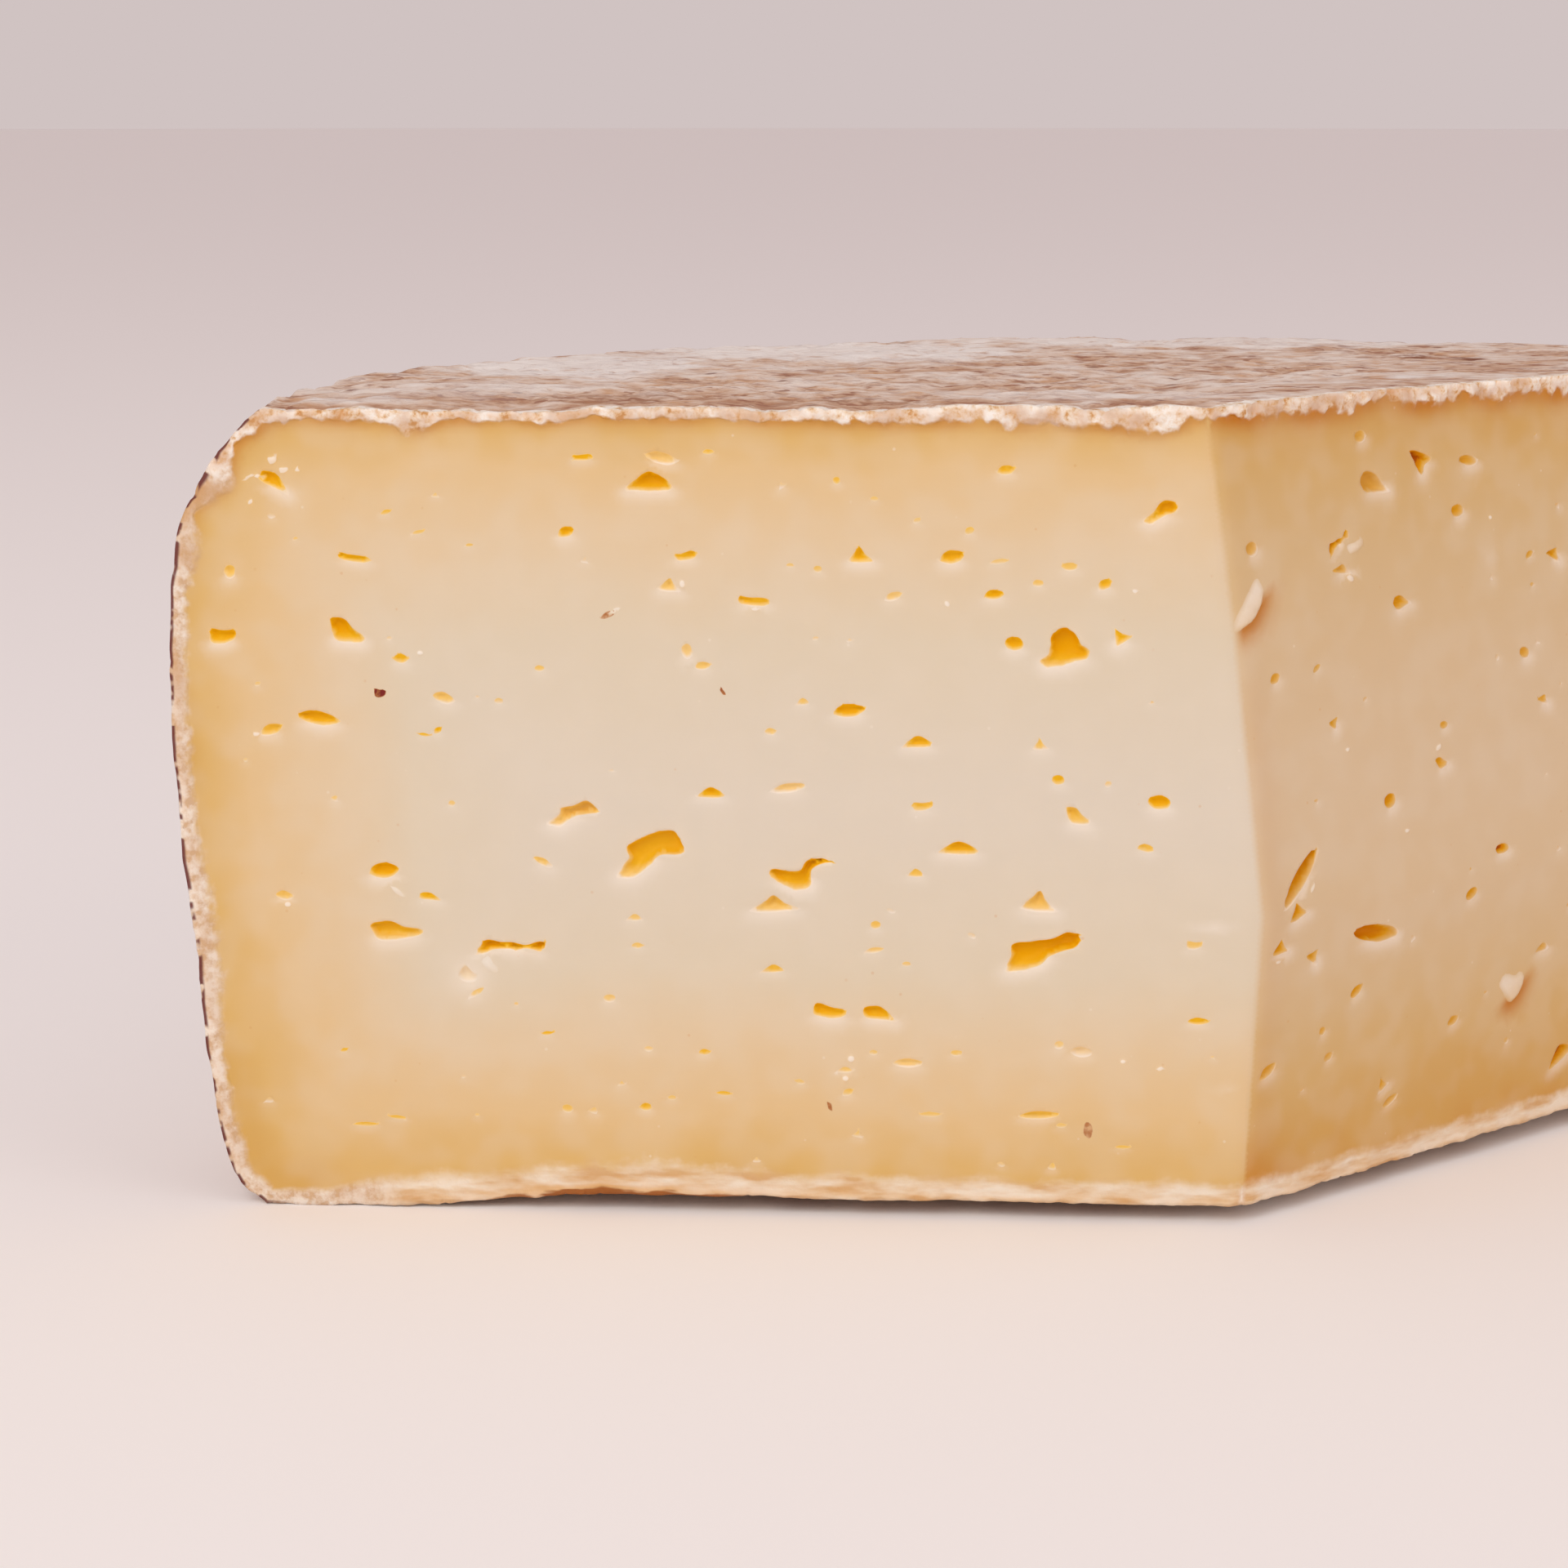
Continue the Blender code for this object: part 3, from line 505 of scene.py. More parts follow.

# Eyes of the front cut: distance from the axis and height of the middle, width and height, all in
# millimetres, slope in degrees as seen, kind, and how strong the painted saffron glow of its hollow is
# (0 to 1)
FRONT_EYES = (
    (85.3, 66.1, 2.7, 1.3, -20, "wedge", 0.9), (78.3, 59.3, 2.6, 0.75, -4, "bar", 0.95),
    (75.5, 63.4, 1.0, 0.35, 20, "lens", 0.7), (72.7, 61.7, 1.2, 0.3, 15, "lens", 0.5),
    (68.2, 60.6, 0.7, 0.25, 5, "lens", 0.5), (39.9, 59.0, 0.7, 0.35, 0, "lens", 0.35),
    (37.5, 58.7, 0.7, 0.6, 0, "round", 0.4), (59.7, 61.9, 1.5, 0.9, 25, "lens", 0.95),
    (58.1, 68.5, 1.7, 0.6, 12, "bar", 0.9), (52.4, 66.4, 4.0, 1.7, 0, "dome", 1.0),
    (51.2, 68.5, 2.9, 1.0, -12, "lens", 0.3), (47.1, 69.0, 1.0, 0.4, 0, "lens", 0.6),
    (35.9, 66.6, 0.6, 0.6, 0, "round", 0.6), (32.6, 65.0, 0.7, 0.4, 0, "lens", 0.4),
    (21.2, 67.4, 1.6, 0.8, 10, "lens", 0.7), (7.8, 63.9, 2.9, 2.0, 0, "peanut", 0.9),
    (49.1, 59.9, 1.7, 0.9, 22, "bar", 0.8), (50.5, 57.2, 2.0, 1.2, -8, "tri", 0.45),
    (33.8, 60.1, 2.2, 1.4, 0, "tri", 0.95), (25.8, 59.9, 2.2, 1.1, 15, "lens", 0.85),
    (24.3, 62.2, 0.9, 0.6, 30, "lens", 0.55), (21.7, 59.5, 1.7, 0.4, 8, "lens", 0.35),
    (43.0, 55.8, 2.6, 0.9, 0, "bar", 0.75), (30.9, 56.4, 1.6, 0.7, 20, "lens", 0.3),
    (22.1, 56.6, 1.7, 0.8, 5, "lens", 0.95), (18.3, 57.6, 1.0, 0.6, 5, "lens", 0.4),
    (15.6, 59.1, 1.3, 0.7, 0, "round", 0.45), (12.5, 57.5, 1.4, 0.8, 35, "lens", 0.75),
    (89.5, 58.0, 1.0, 1.2, 0, "round", 0.5), (90.2, 52.2, 2.2, 1.3, 0, "block", 1.0),
    (79.0, 52.8, 2.7, 2.1, 0, "kite", 1.0), (74.4, 50.4, 1.3, 0.8, -5, "lens", 0.75),
    (49.0, 51.3, 0.9, 1.3, 0, "round", 0.28), (47.6, 50.0, 1.4, 0.7, 8, "lens", 0.4),
    (20.3, 52.2, 1.5, 1.2, 0, "round", 0.95), (16.0, 51.9, 4.3, 3.4, 0, "keyhole", 1.0),
    (11.1, 53.0, 1.6, 1.2, 30, "tri", 0.9), (70.6, 46.9, 2.0, 0.9, -18, "lens", 0.4),
    (81.7, 44.9, 3.5, 1.2, -10, "lens", 0.9), (85.9, 43.8, 2.0, 0.9, 20, "lens", 0.65),
    (72.4, 43.6, 1.0, 0.25, -8, "lens", 0.8), (71.2, 44.0, 0.8, 0.45, 35, "lens", 0.9),
    (62.0, 49.6, 0.9, 0.5, 0, "lens", 0.4), (65.7, 46.7, 0.8, 0.5, 0, "lens", 0.3),
    (38.8, 46.9, 1.1, 0.6, 5, "dome", 0.4), (34.7, 46.1, 2.7, 1.1, 8, "lens", 1.0),
    (41.6, 44.2, 1.0, 0.6, 0, "lens", 0.35), (28.7, 43.4, 2.5, 1.0, 3, "dome", 0.85),
    (17.9, 43.3, 1.3, 0.9, 0, "tri", 0.5), (47.0, 38.7, 2.2, 0.9, 0, "dome", 1.0),
    (40.1, 39.2, 3.0, 0.8, 10, "lens", 0.25), (16.3, 40.2, 1.0, 0.8, 0, "round", 0.75),
    (7.4, 38.3, 1.8, 1.2, 0, "round", 1.0), (28.2, 37.7, 1.6, 0.7, 5, "block", 0.65),
    (14.5, 37.0, 1.8, 1.5, 0, "kite", 0.6), (59.4, 36.6, 4.3, 2.2, 0, "wing", 0.5),
    (25.1, 34.0, 3.3, 1.1, 0, "dome", 0.85), (8.5, 34.2, 1.4, 0.7, -10, "lens", 0.6),
    (52.5, 33.0, 5.4, 4.0, 0, "comet", 0.8), (62.0, 32.2, 1.8, 0.6, -30, "lens", 0.4),
    (76.3, 31.2, 2.5, 1.4, 5, "lens", 1.0), (38.9, 31.4, 5.4, 2.8, 0, "gourd", 0.95),
    (28.8, 31.7, 1.3, 0.7, 0, "dome", 0.6), (85.3, 28.8, 1.5, 0.8, -10, "lens", 0.45),
    (72.1, 28.9, 1.6, 0.7, 0, "wedge", 0.85), (41.3, 28.7, 4.2, 1.4, 3, "tri", 0.55),
    (17.8, 29.3, 2.9, 1.8, -8, "tri", 0.5), (53.9, 27.3, 1.3, 0.6, 0, "dome", 0.35),
    (32.3, 26.9, 0.8, 0.7, 0, "round", 0.5), (75.2, 25.8, 4.1, 1.8, 12, "kite", 0.75),
    (65.1, 24.3, 5.7, 1.3, 0, "crack", 1.0), (68.9, 21.7, 1.5, 1.2, -35, "block", 0.12),
    (68.2, 20.1, 1.6, 0.5, 35, "lens", 0.3), (53.6, 24.7, 1.0, 0.5, 0, "lens", 0.4),
    (32.4, 24.6, 1.6, 0.5, 10, "lens", 0.3), (17.6, 24.6, 5.8, 3.4, 0, "boot", 1.0),
    (4.1, 25.5, 1.2, 0.7, 0, "block", 0.4), (41.5, 22.8, 1.8, 0.7, 3, "dome", 0.65),
    (29.5, 23.4, 0.8, 0.4, 0, "lens", 0.35), (56.1, 19.8, 1.0, 0.7, 0, "round", 0.3),
    (36.4, 18.9, 2.6, 1.1, -12, "block", 0.95), (31.8, 18.8, 2.6, 1.3, 0, "wedge", 0.95),
    (3.6, 18.6, 1.8, 0.6, 0, "lens", 0.8), (61.8, 16.5, 1.0, 0.3, 5, "lens", 0.9),
    (80.3, 14.6, 0.7, 0.3, 15, "lens", 0.8), (47.6, 15.0, 1.0, 0.5, 0, "lens", 0.7),
    (25.0, 15.3, 1.0, 0.5, 0, "round", 0.4), (13.9, 15.6, 1.9, 0.9, -5, "lens", 0.15),
    (15.9, 16.2, 0.8, 0.7, 0, "round", 0.25), (29.3, 14.3, 2.5, 0.8, 0, "lens", 0.3),
    (35.0, 13.6, 1.4, 0.5, 3, "dome", 0.35), (39.0, 12.4, 0.9, 0.4, -15, "lens", 0.35),
    (34.7, 11.5, 1.0, 0.6, 30, "lens", 0.45), (45.8, 11.2, 1.3, 0.35, -4, "lens", 0.8),
    (50.5, 10.7, 0.8, 0.4, 0, "lens", 0.4), (52.9, 9.8, 1.1, 0.7, 0, "lens", 0.7),
    (60.0, 9.5, 0.9, 0.7, -15, "round", 0.45), (17.6, 9.7, 3.4, 0.7, 3, "lens", 0.6),
    (27.3, 9.6, 1.9, 0.4, 0, "lens", 0.45), (78.3, 7.7, 2.2, 0.35, 0, "lens", 0.7),
    (75.3, 8.4, 1.6, 0.3, -6, "lens", 0.7), (15.6, 8.8, 0.9, 0.4, 0, "lens", 0.4),
    (10.1, 6.9, 1.3, 0.3, 0, "lens", 0.6),
)
# The same in the side cut, with distances from the edge between the cuts
SIDE_EYES = (
    (19.2, 69.0, 1.4, 0.9, 0, "round", 0.55), (20.3, 65.0, 3.8, 1.9, 0, "shell", 0.55),
    (27.1, 66.3, 2.7, 2.0, 0, "fang", 1.0), (34.0, 66.1, 2.5, 0.9, 0, "pod", 0.65),
    (31.6, 61.6, 1.7, 1.1, 0, "round", 0.7), (14.6, 60.0, 3.1, 1.0, 25, "crack", 1.0),
    (14.8, 57.7, 2.6, 0.8, -10, "tri", 0.6), (3.2, 60.4, 1.4, 1.2, 0, "round", 0.45),
    (22.3, 54.2, 2.2, 1.3, 20, "shell", 0.75), (45.2, 56.7, 2.1, 1.1, -30, "tri", 0.8),
    (41.5, 56.9, 1.2, 0.6, 20, "lens", 0.6), (4.4, 48.9, 1.3, 0.9, 20, "lens", 0.6),
    (10.0, 49.2, 1.1, 0.5, 30, "lens", 0.5), (11.7, 44.2, 1.1, 1.1, -40, "tri", 0.7),
    (26.8, 42.3, 1.1, 0.7, 0, "round", 0.6), (39.4, 47.7, 1.4, 1.0, -20, "round", 0.6),
    (41.7, 43.1, 1.6, 0.8, -25, "tri", 0.7), (26.0, 38.9, 1.4, 1.2, 20, "kite", 0.7),
    (18.2, 36.2, 1.5, 1.3, 20, "round", 0.8), (33.6, 29.7, 1.9, 0.9, 0, "round", 1.0),
    (4.9, 30.8, 6.2, 1.5, 49, "pod", 0.85), (4.5, 28.0, 2.4, 1.4, 15, "tri", 0.85),
    (15.5, 24.3, 5.9, 1.6, -3, "pod", 0.95), (29.1, 26.0, 1.6, 1.0, 20, "round", 0.7),
    (2.5, 25.0, 2.0, 1.2, 0, "tri", 0.85), (7.1, 23.5, 1.7, 1.1, -35, "tri", 0.7),
    (13.4, 19.2, 1.6, 0.9, 30, "round", 0.7), (40.6, 19.1, 1.9, 0.8, 0, "dome", 0.5),
    (27.9, 14.0, 1.5, 0.9, 15, "lens", 0.6), (9.1, 16.2, 0.9, 0.8, 20, "lens", 0.5),
    (10.2, 13.6, 1.2, 0.8, 20, "lens", 0.5), (1.9, 13.7, 2.2, 1.0, 28, "lens", 0.6),
    (18.2, 9.6, 1.5, 1.1, 25, "tri", 0.65), (19.5, 7.8, 2.2, 0.7, 25, "lens", 0.5),
    (44.7, 7.8, 3.6, 1.6, 25, "dome", 1.0), (57.0, 61.5, 2.9, 1.2, 10, "pod", 0.9),
    (66.5, 45.0, 2.2, 1.5, -15, "shell", 0.7), (54.5, 34.0, 4.4, 1.6, 20, "wing", 0.8),
    (75.0, 56.0, 3.1, 1.2, 15, "tri", 0.8), (79.5, 31.0, 2.6, 1.3, -10, "kite", 0.9),
    (63.0, 19.5, 3.6, 1.4, 20, "boot", 0.9), (85.0, 17.0, 1.9, 1.0, 0, "lens", 0.6),
    (51.0, 47.0, 1.5, 0.9, 0, "round", 0.6), (59.0, 25.5, 1.4, 1.0, 20, "dome", 0.7),
    (70.5, 64.0, 1.9, 0.9, 0, "lens", 0.7), (73.0, 37.0, 1.2, 0.8, 0, "round", 0.5),
    (50.0, 14.5, 1.3, 0.8, 10, "lens", 0.5), (83.0, 45.0, 1.7, 1.0, 0, "dome", 0.6),
)
# Dark red specks of the front cut: the same, with how dark they are
FRONT_SPECKS = (
    (76.3, 47.3, 0.85, 0.7, 0, "block", 1.0), (45.8, 47.7, 0.6, 0.3, -50, "bar", 0.9),
    (55.9, 54.5, 1.5, 0.5, 25, "lens", 0.45), (36.3, 10.2, 0.35, 0.9, 10, "bar", 0.55),
    (13.2, 8.4, 0.8, 1.5, 8, "lens", 0.4),
)

# Paste that the knife turned up: the same, with how far it stands out in millimetres
FRONT_FLAKES = (
    (85.6, 68.1, 0.7, 0.6, 20, "block", 0.22), (84.6, 67.2, 0.7, 0.45, 10, "block", 0.22),
    (83.4, 67.3, 0.4, 0.4, 0, "tri", 0.2), (87.7, 66.5, 1.0, 0.4, 10, "wing", 0.22),
    (87.6, 64.3, 0.5, 0.3, 40, "lens", 0.2), (86.9, 66.6, 0.5, 0.3, 0, "lens", 0.15),
    (75.0, 29.3, 1.4, 0.4, -40, "lens", 0.2), (85.0, 28.0, 0.5, 0.4, 0, "round", 0.25),
    (87.2, 43.4, 0.5, 0.3, 0, "block", 0.2), (66.9, 22.7, 1.5, 0.8, -50, "block", 0.14),
    (34.9, 12.8, 0.5, 0.4, 0, "round", 0.25), (34.4, 14.6, 0.5, 0.5, 0, "round", 0.25),
    (43.0, 55.1, 0.6, 0.25, 0, "lens", 0.15), (49.4, 57.3, 0.4, 0.6, 0, "round", 0.2),
    (72.6, 50.9, 0.5, 0.3, 0, "round", 0.2), (55.3, 54.9, 1.0, 0.3, 25, "lens", 0.15),
    (9.9, 57.0, 0.4, 0.3, 0, "round", 0.15), (26.2, 55.8, 0.4, 0.5, 30, "lens", 0.15),
    (10.2, 14.8, 0.4, 0.3, 0, "round", 0.2), (6.9, 14.2, 0.5, 0.3, 20, "round", 0.2),
)
SIDE_FLAKES = (
    (1.9, 55.3, 5.6, 2.0, 41, "shard", 0.5), (36.4, 15.9, 3.4, 2.8, -10, "heart", 0.35),
    (17.0, 59.6, 2.0, 0.8, 15, "block", 0.3), (15.8, 56.8, 0.9, 0.5, -20, "lens", 0.25),
    (6.8, 29.8, 0.9, 0.3, 50, "lens", 0.2), (25.8, 40.3, 0.8, 0.4, 30, "lens", 0.2),
    (36.4, 60.8, 0.4, 0.3, 0, "round", 0.15), (27.0, 71.0, 0.4, 0.3, 0, "round", 0.15),
    (13.2, 41.6, 0.4, 0.3, 0, "round", 0.15), (20.3, 33.2, 0.5, 0.3, 0, "round", 0.15),
    (2.4, 23.7, 0.6, 0.25, 0, "lens", 0.15),
)
# Soft pale smears on each cut: place, length and width in millimetres, and strength
SMEARS = {
    1: ((2.6, 27.2, 3.4, 0.9, 0.5), (0.9, 12.6, 1.6, 0.5, 0.3), (67.6, 21.6, 3.6, 3.4, 0.45)),
    0: ((5.2, 52.9, 5.4, 0.35, 0.4), (35.8, 57.2, 1.6, 2.4, 0.25)),
}

# Tiny eyes that are scattered: how many on each cut, how wide, how much flatter than wide, where
# and how far apart, in millimetres, and how far from the rind
TINY_EYES = {1: 32, 0: 30}
TINY_WIDTH = (0.35, 0.8)
TINY_FLATTER = (0.45, 0.9)
TINY_ALONG = (2.0, 90.0)
TINY_UP = (5.0, 69.0)
TINY_SLOPE = (-35.0, 35.0)
TINY_KINDS = ("lens", "round", "dome", "tri")
TINY_TONE = (0.1, 0.4)
TINY_CLEARANCE = 0.8
TINY_OFF_RIND = 4 * MM
# Spacing of vertices round an eye, and round one that reaches less far than this
EYE_STEP = 0.26 * MM
TINY_STEP = 0.17 * MM
TINY_REACH = 0.6 * MM
# An eye's wall falls in between two rings this far outside and inside its outline
EYE_EDGE = 0.05 * MM
# Depth of an eye by its mean width, and at the most. On the side cut, which is seen aslant, an eye
# is moved by a share of that depth
EYE_DEPTH = 0.36
EYE_DEEPEST = 1.1 * MM
SIDE_LEAN = 0.4
SPECK_DEPTH = 0.25
# Outlines are swollen a little, and wobble by this share of their size
EYE_SWELL = 1.07
EYE_WOBBLE = 0.06
CURVE_STEPS = 12
# A painted highlight on the lit paste below an eye: its reach, in millimetres, for small eyes and what
# big ones add
HIGHLIGHT_ROUND = 0.15 * MM
HIGHLIGHT_REACH = 0.3
HIGHLIGHT_REACH_BIG = 0.55
HIGHLIGHT_STRENGTH = 0.52
BIG_EYE = 0.8 * MM
# Below a big eye the paste sinks by this much, in millimetres, over this length
LIP_DIP = 0.12
LIP_DIP_REACH = 0.4 * MM
# Towards where an eye's hollow opens most: its lower lip, as seen, which faces the light and gets the
# painted highlight
LIP_WAY = {1: Vector((0.0, -1.0)), 0: Vector((0.55, -0.84))}


def closed_curve(corners):
    """Points on a closed Catmull-Rom curve through corners."""
    n = len(corners)
    points = []
    for k in range(n):
        a, b, c, d = (Vector(corners[(k + j - 1) % n]) for j in range(4))
        points += [on_curve(a, b, c, d, m / CURVE_STEPS) for m in range(CURVE_STEPS)]
    return points


class Eye:
    """One eye, speck or flake of a cut, in the plane of the cut, in metres."""

    def __init__(self, turn, row, role, seed):
        s, z, width, height, slope, kind, tone = row
        if turn == 1:
            stray = edge_stray(z * MM) / MM
            s = (s + stray) * (RADIUS / MM) / (RADIUS / MM + stray)
        elif role == "eye":
            s += SIDE_LEAN * min(EYE_DEEPEST / MM, EYE_DEPTH * math.sqrt(width * height))
        self.centre = Vector((s, z)) * MM
        self.size = Vector((width, height)) * MM / 2 * EYE_SWELL
        self.tone = tone
        self.role = role
        side = -1 if turn == 1 else 1
        tilt = math.radians(slope)
        self.down = Vector((LIP_WAY[turn].x * side, LIP_WAY[turn].y))
        self.outline = []
        for u in closed_curve(KINDS[kind]):
            where = Vector((u.x * 1.7, u.y * 1.7, seed * 3.1))
            far = 1.0 + EYE_WOBBLE * (noise.noise(where) + noise.noise(where * 3.1))
            x = u.x * far * self.size.x
            y = u.y * far * self.size.y
            across = x * math.cos(tilt) - y * math.sin(tilt)
            up = x * math.sin(tilt) + y * math.cos(tilt)
            self.outline.append(self.centre + Vector((across * side, up)))
        self.reach = max((p - self.centre).length for p in self.outline)
        below = [(p - self.centre).dot(self.down) for p in self.outline]
        self.half = max(max(below), -min(below))
        self.spread = Vector(
            max(abs(p[axis] - self.centre[axis]) for p in self.outline) + HIGHLIGHT_ROUND for axis in (0, 1)
        )
        self.depth = min(EYE_DEEPEST, EYE_DEPTH * math.sqrt(width * height) * MM)
        if role == "speck":
            self.depth *= SPECK_DEPTH
        if role == "flake":
            self.depth = -tone * MM

    def below(self, p):
        """1 straight below the eye, 0 beside it, -1 above, for an eye drawn out round."""
        from_centre = Vector((p - self.centre)[axis] / self.spread[axis] for axis in (0, 1))
        way = Vector(self.down[axis] / self.spread[axis] for axis in (0, 1))
        return from_centre.normalized().dot(way.normalized())

    def loop(self, step, offset):
        """Points along the outline, a little outside it (offset above 0) or inside."""
        pts = self.outline
        area = sum(a.x * b.y - b.x * a.y for a, b in zip(pts, pts[1:] + pts[:1]))
        side = 1 if area > 0 else -1
        found = []
        carried = step
        for a, b in zip(pts, pts[1:] + pts[:1]):
            gap = (b - a).length
            if gap == 0.0:
                continue
            way = (b - a) / gap
            while carried <= gap:
                found.append(a + way * carried + Vector((way.y, -way.x)) * side * offset)
                carried += step
            carried -= gap
        return found


def near_rind(p):
    """How near a place of a cut is to the straight lines that bound it."""
    return min(p.y, HEIGHT - p.y, RADIUS - p.x)


def tiny_eyes(turn, others, seed):
    """Scattered pinholes in the paste, clear of the catalogued eyes."""
    draw = random.Random(seed)
    found = []
    while len(found) < TINY_EYES[turn]:
        width = draw.uniform(*TINY_WIDTH)
        height = width * draw.uniform(*TINY_FLATTER)
        s = draw.uniform(*TINY_ALONG)
        z = draw.uniform(*TINY_UP)
        slope = draw.uniform(*TINY_SLOPE)
        kind = draw.choice(TINY_KINDS)
        tone = draw.uniform(*TINY_TONE)
        eye = Eye(turn, (s, z, width, height, slope, kind, tone), "eye", seed + len(found))
        apart = all(
            (o.centre - eye.centre).length > o.reach + eye.reach + TINY_CLEARANCE * MM
            for o in [*others, *found]
        )
        if apart and near_rind(eye.centre) > TINY_OFF_RIND:
            found.append(eye)
    return found


# ---------------------------------------------------------------- the mesh

MARKS = ("inward", "ledge", "crumbly", "mottled", "eye", "halo", "white", "amber",
         "speck", "deep", "peak", "upright", "mould", "stain", "brim", "near",
         "under", "toast", "outline", "side")
# The two materials, by their place in the mesh's list
PASTE = 0
CRUST = 1


class Skin:
    """Vertices, faces and painted marks of one closed surface, made of charts that share edges."""

    def __init__(self):
        self.places = []
        self.faces = []
        self.kinds = []
        self.marks = {name: [] for name in MARKS}
        self.shared = {}

    def add(self, place, **marks):
        """A new vertex, with its marks. The number of it."""
        self.places.append(place)
        for name in MARKS:
            self.marks[name].append(marks.get(name, 0.0))
        return len(self.places) - 1

    def add_faces(self, faces, ids, kind):
        """A chart's faces: ids are the vertices that its points stand for."""
        for face in faces:
            self.faces.append(tuple(ids[k] for k in face))
            self.kinds.append(kind)

    def border(self, turn, along):
        """The vertex of the crust's border at a cut."""
        key = (turn if 0 < along < PROFILE.length else 0.5, along)
        if key not in self.shared:
            place, marks = skin(turn, along)
            spot, _ = outline_at(turn, along)
            if 0 < along < PROFILE.length:
                proud = lip(turn, spot.x, spot.y) * lip_share(spot) + curds(turn, spot)[0]
                place = place + cut_normal(turn) * proud
            self.shared[key] = self.add(
                place, crumbly=crumbliness(spot), mottled=mottle(turn, spot), **marks,
                outline=outline_share(along), **under_marks(turn, spot),
            )
        return self.shared[key]

    def arc(self, turn, along):
        """A vertex shared by two charts of the crust."""
        key = (turn, along)
        if key not in self.shared:
            place, marks = skin(turn, along)
            self.shared[key] = self.add(place, **marks)
        return self.shared[key]


def cut_normal(turn):
    """The way that a cut faces."""
    angle = SIDE_CUT + SECTOR * turn
    way = 1 if turn else -1
    return Vector((-math.sin(angle), math.cos(angle), 0.0)) * way


GRID_SEED = 7
GRID_JITTER = 0.12


def graded(box, levels, wish, keep):
    """Points of hexagonal grids, each level kept where the wished spacing is its own."""
    draw = random.Random(GRID_SEED)
    found = []
    for n, step in enumerate(levels):
        low = step if n else 0.0
        high = levels[n + 1] if n + 1 < len(levels) else math.inf
        rise = step * math.sqrt(3) / 2
        rows = int((box[3] - box[1]) / rise) + 1
        count = int((box[2] - box[0]) / step) + 1
        for j in range(rows):
            for i in range(count):
                x = box[0] + (i + 0.5 * (j % 2)) * step + draw.uniform(-GRID_JITTER, GRID_JITTER) * step
                y = box[1] + j * rise + draw.uniform(-GRID_JITTER, GRID_JITTER) * step
                p = Vector((x, y))
                space = wish(p)
                if low <= space < high and keep(p, step):
                    found.append(p)
    return found


def nearest_tree(points):
    """A tree to find the nearest of some points of a plane."""
    tree = kdtree.KDTree(len(points))
    for k, p in enumerate(points):
        tree.insert((p.x, p.y, 0.0), k)
    tree.balance()
    return tree


def nearest(tree, p):
    """The number of a tree's point that is nearest to a place, and how far it is."""
    _, k, gap = tree.find((p.x, p.y, 0.0))
    return k, gap


def steps(start, end, step):
    """Even steps of about a size, with both ends."""
    count = max(1, round((end - start) / step))
    return [start + (end - start) * k / count for k in range(count + 1)]


# Spacing of vertices along the cuts' outlines and round the crust at the top and the underside
BORDER_STEP = 0.34 * MM
ARC_STEP_TOP = 0.66 * MM
ARC_STEP_FOOT = 1.1 * MM
EPSILON = 0.0005 * MM
# Spacings of the grids of points inside each chart, from fine to coarse
CUT_LEVELS = (0.32 * MM, 0.45 * MM, 0.65 * MM, 0.95 * MM, 1.4 * MM)
SIDE_LEVELS = (0.36 * MM, 0.5 * MM, 0.75 * MM, 0.98 * MM)
TOP_LEVELS = (0.36 * MM, 0.5 * MM, 0.66 * MM, 0.88 * MM)
UNDER_LEVELS = (0.38 * MM, 0.7 * MM, 1.2 * MM, 2.2 * MM)
# A point is kept where it's this share of its grid's spacing away from a chart's border
OFF_BORDER = 0.6

BORDER_UNDER = steps(0.0, PROFILE.foot, BORDER_STEP)
BORDER_SIDE = steps(PROFILE.foot, PROFILE.rim, BORDER_STEP)
BORDER_TOP = steps(PROFILE.rim, PROFILE.length, BORDER_STEP)


def within(p, outline):
    """Whether a point lies inside a closed outline."""
    hit = False
    for a, b in zip(outline, outline[1:] + outline[:1]):
        if (a.y > p.y) != (b.y > p.y):
            if p.x < a.x + (b.x - a.x) * (p.y - a.y) / (b.y - a.y):
                hit = not hit
    return hit


def fill(points, loop_count):
    """Triangles between points, inside the loop made by the first loop_count of them."""
    edges = [(k, (k + 1) % loop_count) for k in range(loop_count)]
    flat, _, faces, sources, _, _ = delaunay_2d_cdt(points, edges, [], 0, EPSILON)
    on_loop = [s[0] if s and s[0] < loop_count else None for s in sources]

    def fence(a, b):
        a, b = on_loop[a], on_loop[b]
        return None not in (a, b) and (a - b) % loop_count in (1, loop_count - 1)

    beside = {}
    for n, face in enumerate(faces):
        for a, b in zip(face, face[1:] + face[:1]):
            beside.setdefault((min(a, b), max(a, b)), []).append(n)
    start = next(n for n, face in enumerate(faces) if any(on_loop[k] is None for k in face))
    reached = {start}
    waiting = [start]
    while waiting:
        face = faces[waiting.pop()]
        for a, b in zip(face, face[1:] + face[:1]):
            if fence(a, b):
                continue
            for n in beside[(min(a, b), max(a, b))]:
                if n not in reached:
                    reached.add(n)
                    waiting.append(n)
    return flat, [faces[n] for n in sorted(reached)], sources


# Spacing of the points that tell where the outline and the eyes are
OUTLINE_STEP = 0.12 * MM
EYE_OUTLINE_STEP = 0.06 * MM
# Half the steps of the outline that a band's calm width is averaged over
CALM_BAND = 14
# The crust's relief moves a cut this far in from its outline
RELIEF_INTO_CUT = 2.2 * MM
# Crumbs fade out this near to the edge between the cuts
CRUMBS_OFF_EDGE = 0.4 * MM
# Painted shade under the top's rind, where its lip shades the paste, as a dark yellow line: how strong
# on each cut, and how wide
UNDER_RIND = {1: 0.6, 0: 1.0}
UNDER_RIND_REACH = 1.1 * MM
